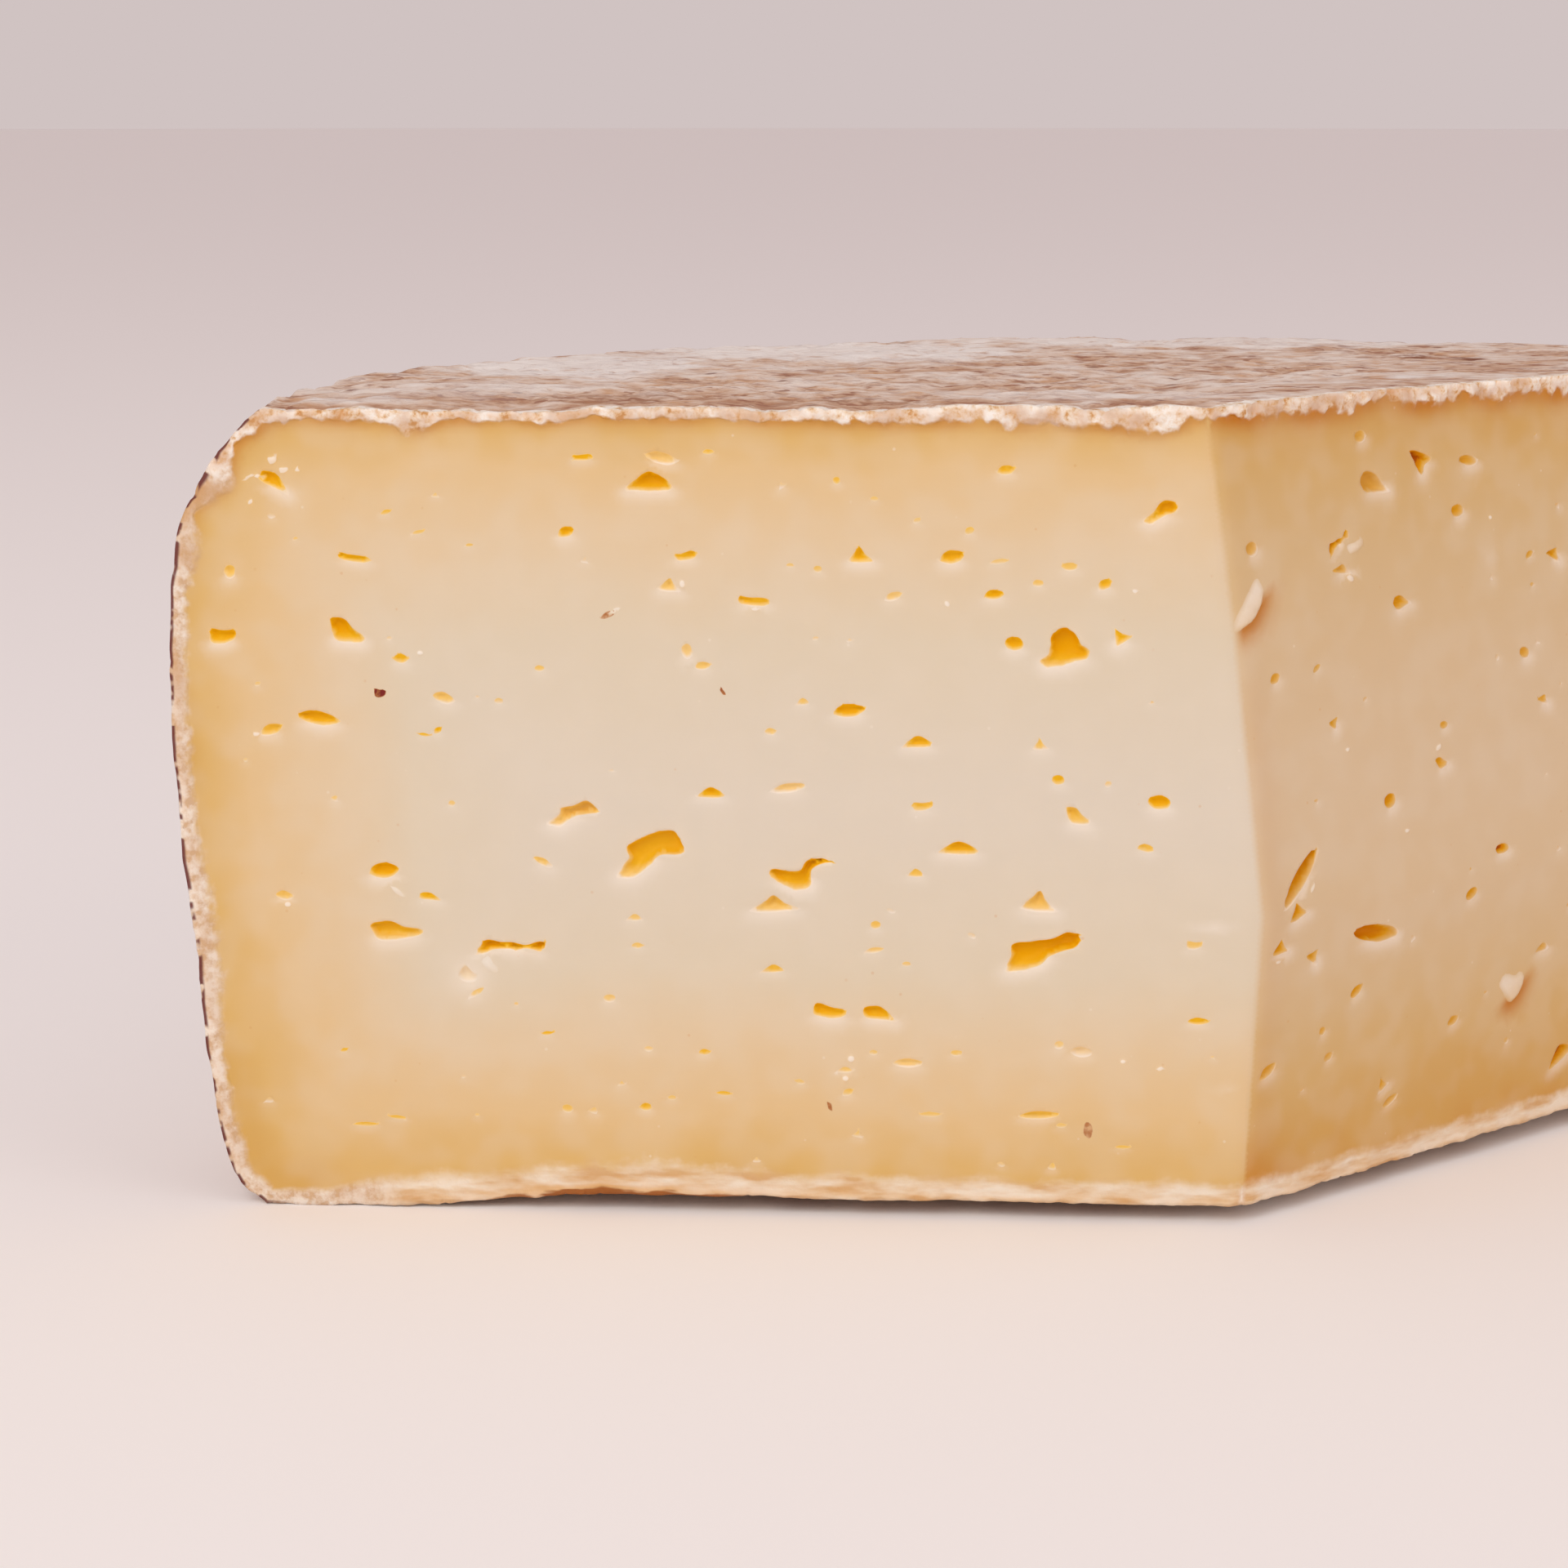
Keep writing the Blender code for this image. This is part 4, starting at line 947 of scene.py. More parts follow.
# A flake that reaches this far is a flap. It grows out of the edge between the cuts over a length,
# after a short root. It is less pale this near to its border, and the paste below it gets painted
# shade over a length, and sinks, in millimetres
FLAP_REACH = 1.5 * MM
FLAP_ROOT = 0.2 * MM
FLAP_GROWS = 1.3 * MM
FLAP_SOFT = 0.5 * MM
FLAP_SHADE = 1.4 * MM
FLAP_SINK = 0.15
# The yellow under the rind reaches further in where the cheese stands
# Low down this further reach is painted warm light, bounced up from below
DEEPER_YELLOW_LOW = {1: 0.33, 0: 0.5}
YELLOW_LOW = 18.0 * MM
# and towards the side of the wheel, beyond this distance from the axis
DEEPER_YELLOW_OUT = 0.25
YELLOW_OUT = 70.0 * MM
YELLOW_OUT_OVER = 14 * MM
# Painted shade on the side cut, a deeper yellow along the edge between the cuts: how strong, at which
# distance, how far round that, and below which height in millimetres. The same at its foot
EDGE_YELLOW = 0.1
EDGE_YELLOW_AT = 1.5 * MM
EDGE_YELLOW_REACH = 2.0 * MM
EDGE_YELLOW_UP_TO = 44
FOOT_YELLOW = 0.5
FOOT_YELLOW_AT = 0.5 * MM
FOOT_YELLOW_REACH = 5.0 * MM
FOOT_YELLOW_UP_TO = 3
# Seeds of the outlines' wobble, after the cut's own
SPECK_SEED = 50
FLAKE_SEED = 80
TINY_SEED = 500


def finer_near(gap, at_border, growth):
    """A spacing that grows with the distance from something."""
    return at_border + growth * max(0.0, gap)


def mark_flake(p, eye, into, down):
    """The same for a flake, or for a flap, whose shade on the paste below it is painted."""
    large = min(1.0, eye.reach / FLAP_REACH)
    if into > 0:
        lift = ease(1.0 - 0.6 * large + 0.6 * large * down)
        rise = -eye.depth * lift * (1 - math.exp(-into / ((0.08 + 0.14 * large) * MM)))
        free = ease((p.x - FLAP_ROOT) / FLAP_GROWS) if large == 1.0 else 1.0
        # A flake's pale colour, and its white, which is partly a painted glint
        pale = 0.3 + 0.5 * eye.tone + 0.35 * (1 - large)
        pale *= 1 - large * (1 - ease(into / FLAP_SOFT) * (0.8 - 0.25 * down))
        return rise * free, {"halo": pale, "white": 0.25 * (1 - large * ease(0.5 + down))}
    if large < 1.0:
        return 0.0, {}
    # Below the flap, painted amber shade
    under = ease(1.3 * down) * bell(into, 0.0, FLAP_SHADE) * ease(p.x / FLAP_GROWS)
    return -FLAP_SINK * MM * under, {"amber": 0.95 * under}


def mark_hollow(eye, into, down, big):
    """The same inside an eye or a speck: its floor slopes up softly to the lower lip."""
    soft = ease(0.35 + 0.75 * down)
    steep = (0.12 + 0.5 * soft * big) * MM
    rise = -eye.depth * (1 - math.exp(-max(0.0, into - EYE_EDGE * 0.5) / steep))
    if eye.role == "speck":
        return rise, {"speck": eye.tone * ease(into / EYE_EDGE)}
    # Painted light in the hollow: its saffron glow stands for light scattered inside it. It grows
    # inward and is weaker on the lit lower lip, which gets a painted highlight
    shade = 1 - math.exp(-into / ((0.02 + 0.28 * soft * big) * MM))
    fade = 1 - 0.45 * big * ease((down - 0.25) / 0.8)
    saffron = eye.tone * shade * fade
    return rise, {"eye": saffron, "halo": 0.8 * soft * (1 - saffron)}


class Cut:
    """One cut face: its outline, eyes and everything that depends on the place in its plane."""

    def __init__(self, turn, rows, specks, flakes, seed):
        self.turn = turn
        self.normal = cut_normal(turn)
        self.eyes = [Eye(turn, row, "eye", seed + n) for n, row in enumerate(rows)]
        self.eyes += [Eye(turn, row, "speck", seed + SPECK_SEED + n) for n, row in enumerate(specks)]
        self.eyes += [Eye(turn, row, "flake", seed + FLAKE_SEED + n) for n, row in enumerate(flakes)]
        self.eyes += tiny_eyes(turn, self.eyes, seed + TINY_SEED)
        dense = []
        self.owner = []
        for n, eye in enumerate(self.eyes):
            loop = eye.loop(EYE_OUTLINE_STEP, 0.0)
            dense += loop
            self.owner += [n] * len(loop)
        self.eye_tree = nearest_tree(dense)
        self.alongs = steps(0.0, PROFILE.length, OUTLINE_STEP)
        spots = [outline_at(turn, a) for a in self.alongs]
        self.spots = [s for s, _ in spots]
        self.normals = [n for _, n in spots]
        self.rind_tree = nearest_tree(self.spots)
        self.bands = [band_width(turn, a) for a in self.alongs]
        self.calm_bands = []
        for k in range(len(self.bands)):
            around = self.bands[max(0, k - CALM_BAND):k + CALM_BAND + 1]
            self.calm_bands.append(sum(around) / len(around))
        self.shifts = {}

    def rind(self, p):
        """Distance into the paste from the outline, and the outline's nearest point."""
        k, gap = nearest(self.rind_tree, p)
        inward = (self.spots[k] - p).dot(self.normals[k])
        return (gap if inward >= 0 else -gap), k

    def eye(self, p):
        """The nearest eye and the distance from its outline, above 0 inside it."""
        k, gap = nearest(self.eye_tree, p)
        eye = self.eyes[self.owner[k]]
        if (p - eye.centre).length < eye.reach * 1.1 and within(p, eye.outline):
            return eye, gap
        return eye, -gap

    def wish(self, p):
        """The wished spacing of vertices."""
        gap, k = self.rind(p)
        _, near = nearest(self.eye_tree, p)
        return min(
            finer_near(gap - self.bands[k] - 0.5 * MM, 0.34 * MM, 0.5),
            finer_near(near - 0.3 * MM, 0.30 * MM, 0.55),
            finer_near(p.x - 1.0 * MM, 0.34 * MM, 0.5),
            1.6 * MM,
        )

    def shift(self, k):
        """How the crust's relief moves the outline at one of its points."""
        if k not in self.shifts:
            base = in_place(self.turn, self.spots[k].x, self.spots[k].y)
            self.shifts[k] = skin(self.turn, self.alongs[k])[0] - base
        return self.shifts[k]

    def mark_eye(self, p, eye, into):
        """How an eye, speck or flake moves the cut at a place, and how it paints it there."""
        down = (p - eye.centre).dot(eye.down) / eye.half
        if eye.role == "flake":
            return mark_flake(p, eye, into, down)
        big = min(1.0, eye.half / BIG_EYE)
        if into > 0:
            return mark_hollow(eye, into, down, big)
        if eye.role == "speck":
            return 0.0, {}
        # Below an eye, a painted highlight where the paste turns up to the light
        lobe = ease((eye.below(p) - 0.15) / 0.75)
        reach = (HIGHLIGHT_REACH + HIGHLIGHT_REACH_BIG * big) * MM
        halo = lobe * math.exp(-(into / reach) ** 2) * (0.25 + 0.75 * big) * (0.5 + 0.5 * eye.tone)
        dip = lobe * math.exp(into / LIP_DIP_REACH) * LIP_DIP * MM * big
        return -dip, {"halo": HIGHLIGHT_STRENGTH * halo}

    def shade_under_rind(self, p, past, along):
        """Painted shade under the rind of the top, where its lip shades the paste: a dark yellow line.
        """
        high_up = ease((p.y / HEIGHT - 0.82) / 0.1)
        uneven = 0.75 + 0.6 * noise.noise(Vector((along / (5 * MM), 9.0 * self.turn, 3.0)))
        reach = UNDER_RIND_REACH * (1.0 if self.turn == 0 else 0.7)
        line = math.exp(-(max(0.0, past) / reach) ** 2)
        return high_up * line * min(1.0, uneven) * UNDER_RIND[self.turn]

    def smear(self, p):
        """Paste dragged over the cut by the knife."""
        found = 0.0
        for s, z, length, width, strength in SMEARS[self.turn]:
            stray = edge_stray(z * MM) / MM if self.turn == 1 else 0.0
            across = (p.x / MM - s - stray) / (length / 2)
            up = (p.y / MM - z) / (width / 2)
            found += strength * math.exp(-across * across - up * up)
        return found

    def shade_by_edge(self, p):
        """Painted shade of the side cut: a deeper yellow along the edge between the cuts, and at its
        foot.
        """
        if self.turn == 1:
            return 0.0
        low = 1 - ease((p.y / MM - FOOT_YELLOW_UP_TO) / 8)
        beside = EDGE_YELLOW * bell(p.x, EDGE_YELLOW_AT, EDGE_YELLOW_REACH)
        beside *= ease(1 - (p.y / MM - EDGE_YELLOW_UP_TO) / 10)
        return max(beside, FOOT_YELLOW * low * bell(p.x, FOOT_YELLOW_AT, FOOT_YELLOW_REACH))

    def vertex(self, skin_mesh, p):
        """Make the vertex at a place of the cut's plane."""
        gap, k = self.rind(p)
        along = self.alongs[k]
        ledge = gap / self.bands[k]
        crumb, between = curds(self.turn, p)
        crumbly = crumbliness(p)
        fall = 0.55 + 0.75 * (1 - crumbly)
        proud = lip(self.turn, p.x, p.y) * lip_share(p)
        out = proud * ease((1.1 + fall / 2 - ledge) / fall)
        out += crumb * ease((1.15 - ledge) / 0.3)
        if p.x < CRUMBS_OFF_EDGE:
            out *= p.x / CRUMBS_OFF_EDGE
        eye, into = self.eye(p)
        rise, paint = self.mark_eye(p, eye, into)
        out += rise
        paint["halo"] = max(paint.get("halo", 0.0), self.smear(p))
        # Painted amber shade under the top's rind and along the side cut's edge and foot
        yellow = max(self.shade_under_rind(p, gap - self.calm_bands[k], along), self.shade_by_edge(p))
        paint["amber"] = max(paint.get("amber", 0.0), yellow)
        place = in_place(self.turn, p.x, p.y) + self.normal * out
        place += self.shift(k) * ease(1 - gap / RELIEF_INTO_CUT)
        # Low down the yellow reaches further in: painted warm light bounced up from below
        inward = gap / MM * (1 - DEEPER_YELLOW_LOW[self.turn] * ease(1.45 - p.y / YELLOW_LOW))
        inward *= 1 - DEEPER_YELLOW_OUT * ease((p.x - YELLOW_OUT) / YELLOW_OUT_OVER)
        # side picks the side cut's darker, warmer colours: painted shade and bounced light
        return skin_mesh.add(
            place, inward=inward, ledge=ledge, crumbly=crumbly, deep=between,
            mottled=mottle(self.turn, p) if ledge < 2 else 0.0, outline=outline_share(along),
            side=1.0 - self.turn, **paint, **under_marks(self.turn, p),
        )


# Spacing of vertices on the edge between the cuts, and how far rings of eyes stay away from it
EDGE_STEP = 0.5 * MM
RING_OFF_EDGE = 0.1 * MM
GRID_OFF_EDGE = 0.25 * MM


def add_cut(mesh, cut):
    """The chart of a cut: its outline, two rings round each eye, and grids between them."""
    turn = cut.turn
    loop_alongs = BORDER_UNDER + BORDER_SIDE[1:] + BORDER_TOP[1:]
    loop = [outline_at(turn, a)[0] for a in loop_alongs]
    rim_count = len(loop)
    edge_heights = steps(loop[0].y, loop[-1].y, EDGE_STEP)[1:-1]
    loop += [Vector((0.0, z)) for z in reversed(edge_heights)]
    rings = []
    for eye in cut.eyes:
        for offset in (EYE_EDGE, -EYE_EDGE):
            rings += eye.loop(TINY_STEP if eye.reach < TINY_REACH else EYE_STEP, offset)
    ring_tree = nearest_tree(rings)
    loop_tree = nearest_tree(loop)

    def keep(p, step):
        gap, _ = cut.rind(p)
        if gap < 0.55 * BORDER_STEP or p.x < GRID_OFF_EDGE:
            return False
        if nearest(loop_tree, p)[1] < OFF_BORDER * step:
            return False
        return nearest(ring_tree, p)[1] > 0.42 * step

    rings = [p for p in rings if cut.rind(p)[0] > 0.3 * BORDER_STEP and p.x > RING_OFF_EDGE]
    inner = graded((0.0, 0.0, RADIUS, HEIGHT), CUT_LEVELS, cut.wish, keep)
    flat, faces, sources = fill(loop + rings + inner, len(loop))
    ids = []
    for p, source in zip(flat, sources):
        k = source[0] if source else len(loop)
        if k < rim_count:
            ids.append(mesh.border(turn, loop_alongs[k]))
        elif k < len(loop):
            key = ("edge", k)
            if key not in mesh.shared:
                mesh.shared[key] = cut_edge_vertex(mesh, cut, loop[k].y, k)
            ids.append(mesh.shared[key])
        else:
            ids.append(cut.vertex(mesh, p))
    mesh.add_faces(faces, ids, PASTE)


def cut_edge_vertex(mesh, cut, z, k):
    """A vertex on the upright edge between the cuts, shared by both."""
    p = Vector((0.0, z))
    gap, at = cut.rind(p)
    width = band_width(0, cut.alongs[at])
    return mesh.add(
        in_place(1, 0.0, z), inward=gap / MM, ledge=gap / width, crumbly=crumbliness(p), side=0.5,
    )


def add_side(mesh):
    """The rind round the side, unrolled: arc length at the full radius, and length of the profile."""
    round_length = RADIUS * SECTOR
    low, high = PROFILE.foot, PROFILE.rim
    upper = steps(0.0, round_length, ARC_STEP_TOP)
    lower = steps(0.0, round_length, ARC_STEP_FOOT)
    loop = [(Vector((0.0, a)), ("cut", 0, a)) for a in reversed(BORDER_SIDE[1:])]
    loop += [(Vector((u, low)), ("arc", u / round_length, low)) for u in lower[:-1]]
    loop += [(Vector((round_length, a)), ("cut", 1, a)) for a in BORDER_SIDE[:-1]]
    loop += [(Vector((u, high)), ("arc", u / round_length, high)) for u in reversed(upper[1:])]

    def wish(p):
        near = min(p.x, round_length - p.x)
        by_cut = finer_near(near - 0.6 * MM, 0.36 * MM, 0.4)
        return min(by_cut, finer_near(high - p.y, 0.7 * MM, 0.3), 1.1 * MM)

    def keep(p, step):
        if not (0 < p.x < round_length and low < p.y < high):
            return False
        return nearest(tree, p)[1] > OFF_BORDER * step

    tree = nearest_tree([p for p, _ in loop])
    inner = graded((0.0, low, round_length, high), SIDE_LEVELS, wish, keep)
    build_chart(mesh, loop, inner, lambda p: (p.x / round_length, p.y))


def build_chart(mesh, loop, inner, params):
    """A chart of the crust. params turns a point of its plane into turn and length of the profile."""
    flat, faces, sources = fill([p for p, _ in loop] + inner, len(loop))
    ids = []
    for p, source in zip(flat, sources):
        k = source[0] if source else len(loop)
        if k < len(loop):
            kind, turn, along = loop[k][1]
            if kind == "cut" or turn in (0.0, 1.0):
                ids.append(mesh.border(round(turn), along))
            else:
                ids.append(mesh.arc(turn, along))
        else:
            turn, along = params(p)
            place, marks = skin(turn, along)
            ids.append(mesh.add(place, **marks))
    mesh.add_faces(faces, ids, CRUST)


def add_round_chart(mesh, rim, alongs, arc_step, levels, coarse, growth):
    """The top or the underside: a sector in plan. rim is the radius of its arc."""
    over = alongs[-1] == PROFILE.length
    round_length = RADIUS * SECTOR

    def plan(turn, along):
        angle = SIDE_CUT + SECTOR * turn
        r = along
        if over:
            r = rim - (along - PROFILE.rim) * rim / (PROFILE.length - PROFILE.rim)
        return Vector((r * math.cos(angle), r * math.sin(angle)))

    turns = [u / round_length for u in steps(0.0, round_length, arc_step)]
    rim_along = alongs[0] if over else alongs[-1]
    inwards = alongs if over else list(reversed(alongs))
    loop = [(plan(0, a), ("cut", 0, a)) for a in reversed(inwards)]
    loop += [(plan(t, rim_along), ("arc", t, rim_along)) for t in turns[1:-1]]
    loop += [(plan(1, a), ("cut", 1, a)) for a in inwards[:-1]]
    tree = nearest_tree([p for p, _ in loop])
    way_side = Vector((math.cos(SIDE_CUT), math.sin(SIDE_CUT)))

    def near_cut(p):
        return min(p.y, way_side.x * p.y - way_side.y * p.x)

    def wish(p):
        near = max(0.0, near_cut(p))
        far = 1.0 + 0.36 * ease((near - 15 * MM) / (20 * MM))
        return min(finer_near(near - 0.8 * MM, levels[0] * 1.01, 0.4),
                   finer_near(rim - p.length, arc_step * 1.01, growth), coarse * far)

    def keep(p, step):
        if p.length >= rim or near_cut(p) <= 0.3 * step:
            return False
        return nearest(tree, p)[1] > OFF_BORDER * step

    inner = graded((-rim, 0.0, rim * way_side.x, rim), levels, wish, keep)

    def params(p):
        turn = (math.atan2(p.y, p.x) - SIDE_CUT) / SECTOR
        if over:
            return turn, PROFILE.rim + (rim - p.length) * (PROFILE.length - PROFILE.rim) / rim
        return turn, p.length

    build_chart(mesh, loop, inner, params)


# ---------------------------------------------------------------- materials

# Colours, as sRGB from 0 to 255
# Pale paste of flakes and smears, and the painted highlight at the eyes
CREAM = (246, 235, 223)
# White of the flakes, partly a painted glint
WHITE = (252, 248, 240)
# Painted shade, amber on the paste
AMBER_SHADE = (198, 122, 12)
CLOUD = (232, 218, 198)
DUST = (244, 232, 218)
PORES = (216, 162, 98)
MOTTLED = (206, 160, 112)
TOASTED = (224, 170, 102)
BURNT = (152, 80, 20)
# Painted shade between the rind's crumbs
CRUMB_GAP_SHADE = (208, 156, 104)
TAN = (200, 146, 92)
DARK_SKIN = (106, 46, 44)
OCHRE = (214, 158, 106)
RECESS = (166, 114, 86)
DABS = (150, 94, 70)
FLECKS = (116, 64, 48)
STAIN = (134, 80, 54)
GREY_BLOOM = (202, 186, 170)
MOULD_WHITE = (243, 237, 233)
FLOOR_COLOUR = (252, 248, 247)
ROOM_COLOUR = (208, 195, 194)
# Colour ramps: stops of where, red, green and blue
FRONT_PASTE = (
    (0.00, 215, 168, 88), (0.06, 223, 182, 111), (0.16, 229, 195, 143),
    (0.34, 229, 203, 165), (0.60, 225, 209, 183), (1.00, 225, 212, 193),
)
# The side cut's paste is a darker, warmer copy of the front cut's: painted shade and painted warm
# bounced light
SHADED_SIDE_PASTE = (
    (0.00, 208, 148, 58), (0.06, 213, 166, 88), (0.18, 217, 178, 114),
    (0.40, 219, 187, 138), (0.70, 221, 193, 153), (1.00, 222, 196, 160),
)
# Painted light in the eyes' hollows: a saffron glow that stands for light scattered and bounced inside
# them. On the side cut it is a darker copy, with painted shade at its deepest
FRONT_HOLLOW_GLOW = ((0.0, 238, 210, 165), (0.35, 240, 200, 112), (0.7, 241, 186, 34), (1.0, 238, 172, 0))
SHADED_SIDE_HOLLOW_GLOW = (
    (0.0, 222, 188, 140), (0.35, 222, 176, 92), (0.7, 226, 164, 20), (0.95, 220, 140, 0),
    (1.0, 178, 84, 0),
)
RED_SPECK = ((0.0, 226, 184, 140), (0.5, 176, 110, 56), (1.0, 120, 18, 8))
# The crumbs' colour follows the noise of their bumps: tan in the low gaps, partly painted shade, and
# whitest on the tops, partly painted highlight
CURD_RAMP = ((0.32, 202, 148, 92), (0.39, 228, 198, 164), (0.47, 240, 224, 206), (0.56, 248, 241, 233))
FLUFF_RAMP = ((0.36, 212, 176, 140), (0.47, 228, 204, 180), (0.60, 241, 227, 212))
CREAMY_RAMP = ((0.36, 218, 174, 124), (0.46, 231, 202, 166), (0.60, 243, 228, 208))
CRUST_RAMP = (
    (0.36, 184, 138, 110), (0.44, 208, 172, 146), (0.51, 224, 200, 183), (0.60, 234, 219, 208),
)
# Distance from the rind, in millimetres, over which the paste's colour changes, and its unevenness
PASTE_DEPTH = 34.0
PASTE_UNEVEN = 5.0
EVEN = (1.0, 1.0, 1.0)


def linear(r, g, b):
    """Linear colour of an sRGB colour in 0 to 255."""
    def channel(v):
        v /= 255
        return v / 12.92 if v <= 0.04045 else ((v + 0.055) / 1.055) ** 2.4
    return (channel(r), channel(g), channel(b), 1.0)


class Value:
    """What a node gives, to reckon with in a node tree."""

    def __init__(self, nodes, socket):
        self.nodes = nodes
        self.socket = socket

    def __add__(self, other):
        return self.nodes.math("ADD", self, other)

    def __sub__(self, other):
        return self.nodes.math("SUBTRACT", self, other)

    def __mul__(self, other):
        return self.nodes.math("MULTIPLY", self, other)


class Nodes:
    """A short way to write a material's node tree."""

    def __init__(self, name):
        self.material = bpy.data.materials.new(name)
        self.material.use_nodes = True
        self.tree = self.material.node_tree
        self.shader = self.tree.nodes["Principled BSDF"]

    def set(self, socket, value):
        """Link a value of the tree to a socket, or give the socket its own."""
        if isinstance(value, Value):
            self.tree.links.new(value.socket, socket)
        else:
            socket.default_value = value

    def shade(self, values):
        """Set the shader's own sockets."""
        for name, value in values.items():
            self.set(self.shader.inputs[name], value)

    def node(self, kind, output, inputs, **settings):
        """A new node with its settings and inputs, and the output that is wanted of it."""
        node = self.tree.nodes.new(kind)
        for name, value in settings.items():
            setattr(node, name, value)
        for name, value in inputs.items():
            self.set(node.inputs[name], value)
        return Value(self, node.outputs[output])

    def mark(self, name):
        """One of the mesh's painted marks."""
        return self.node("ShaderNodeAttribute", "Fac", {}, attribute_name=name)

    def place(self, stretch):
        """Where a point is, in metres, squeezed by a factor along each axis."""
        where = self.node("ShaderNodeTexCoord", "Object", {})
        return self.node("ShaderNodeMapping", "Vector", {"Scale": stretch, "Vector": where})

    def noise(self, spacing, detail=2.0, stretch=EVEN, rough=0.5, bend=0.0):
        return self.node("ShaderNodeTexNoise", "Fac", {
            "Vector": self.place(stretch), "Scale": 1.0 / spacing, "Detail": detail,
            "Roughness": rough, "Distortion": bend,
        })

    def cells(self, spacing, stretch=EVEN):
        return self.node("ShaderNodeTexVoronoi", "Distance", {
            "Vector": self.place(stretch), "Scale": 1.0 / spacing,
        })

    def math(self, operation, a, b, clamp=False):
        return self.node("ShaderNodeMath", 0, {0: a, 1: b}, operation=operation, use_clamp=clamp)

    def ramp(self, value, low, high, to_low=0.0, to_high=1.0):
        """A smooth passage from to_low to to_high where a value goes from low to high."""
        return self.node("ShaderNodeMapRange", "Result", {
            "Value": value, "From Min": low, "From Max": high, "To Min": to_low, "To Max": to_high,
        }, interpolation_type="SMOOTHSTEP")

    def colours(self, value, stops):
        """A colour by a value, along the stops of a ramp."""
        node = self.tree.nodes.new("ShaderNodeValToRGB")
        elements = node.color_ramp.elements
        while len(elements) < len(stops):
            elements.new(0.5)
        for element, (at, *colour) in zip(elements, stops):
            element.position = at
            element.color = linear(*colour)
        self.set(node.inputs["Fac"], value)
        return Value(self, node.outputs["Color"])

    def mix(self, share, under, over):
        """A colour laid over another, as far as the share says. Tuples are sRGB colours."""
        sides = [linear(*c) if isinstance(c, tuple) else c for c in (under, over)]
        return self.node("ShaderNodeMix", 2, {0: share, 6: sides[0], 7: sides[1]}, data_type="RGBA")

    def bump(self, height, strength, distance):
        return self.node("ShaderNodeBump", "Normal", {
            "Strength": strength, "Distance": distance, "Height": height,
        })


def add_curd(n):
    """The crumbly rind's colour, cream crumbs with gaps that are partly toasted and partly painted
    shade, and its noise.
    """
    crumb = n.noise(1.0 * MM, 3.0, rough=0.62)
    return n.colours(crumb, CURD_RAMP), crumb


def add_band(n):
    """The rind as the cuts show it. Its colour, how much of it covers a place, and its noise."""
    ledge, crumbly, toast = n.mark("ledge"), n.mark("crumbly"), n.mark("toast")
    on_side = n.ramp(crumbly, 0.28, 0.46, 1.0, 0.0)
    on_top = n.ramp(crumbly, 0.6, 1.0)
    ragged = (on_side * 0.7 + on_top * 0.6 + 0.25) * (n.noise(1.1 * MM) - 0.5)
    softer = n.ramp(crumbly, 0.4, 0.9, 0.5, 1.0)
    share = n.ramp((ledge + ragged - 0.95) * softer, -0.17, 0.15, 1.0, 0.0)
    # Down the side: pale fluff with tan patches
    curd, crumb = add_curd(n)
    fluff = n.mix(n.mark("mottled"), n.colours(crumb, FLUFF_RAMP), MOTTLED)
    # On the underside: creamy, toasted towards the border
    fibre = n.noise(1.8 * MM, 3.0, stretch=(0.3, 0.3, 1.2))
    lower = ledge + (fibre - 0.5)
    toasted = n.ramp(lower, 0.2, 0.66, 0.65, 0.0) * toast
    creamy = n.mix(toasted, n.colours(fibre, CREAMY_RAMP), TOASTED)
    burnt = n.ramp(lower + toast * -0.05, 0.0, 0.12, 0.9, 0.0) * n.ramp(toast, 0.25, 0.8, 0.12, 1.0)
    creamy = n.mix(burnt, creamy, BURNT)
    rind = n.mix(n.mark("under"), fluff, creamy)
    # On the top: crumbs with toasted gaps, painted shade deep between the crumbs, and tan places
    rind = n.mix(n.ramp(crumbly, 0.5, 0.85), rind, curd)
    rind = n.mix(n.mark("deep") * on_top * 0.4, rind, CRUMB_GAP_SHADE)
    tan = n.ramp(n.noise(4 * MM), 0.42, 0.6, 0.0, 0.5)
    rind = n.mix(tan * on_top, rind, TAN)
    # The dark skin, a broken line down the side
    dash = n.ramp(n.noise(1.5 * MM, 1.0), 0.44, 0.54)
    outline = n.ramp(ledge, 0.1, 0.24, 0.95, 0.0) * dash
    rind = n.mix(outline * n.mark("outline"), rind, DARK_SKIN)
    return rind, share, crumb


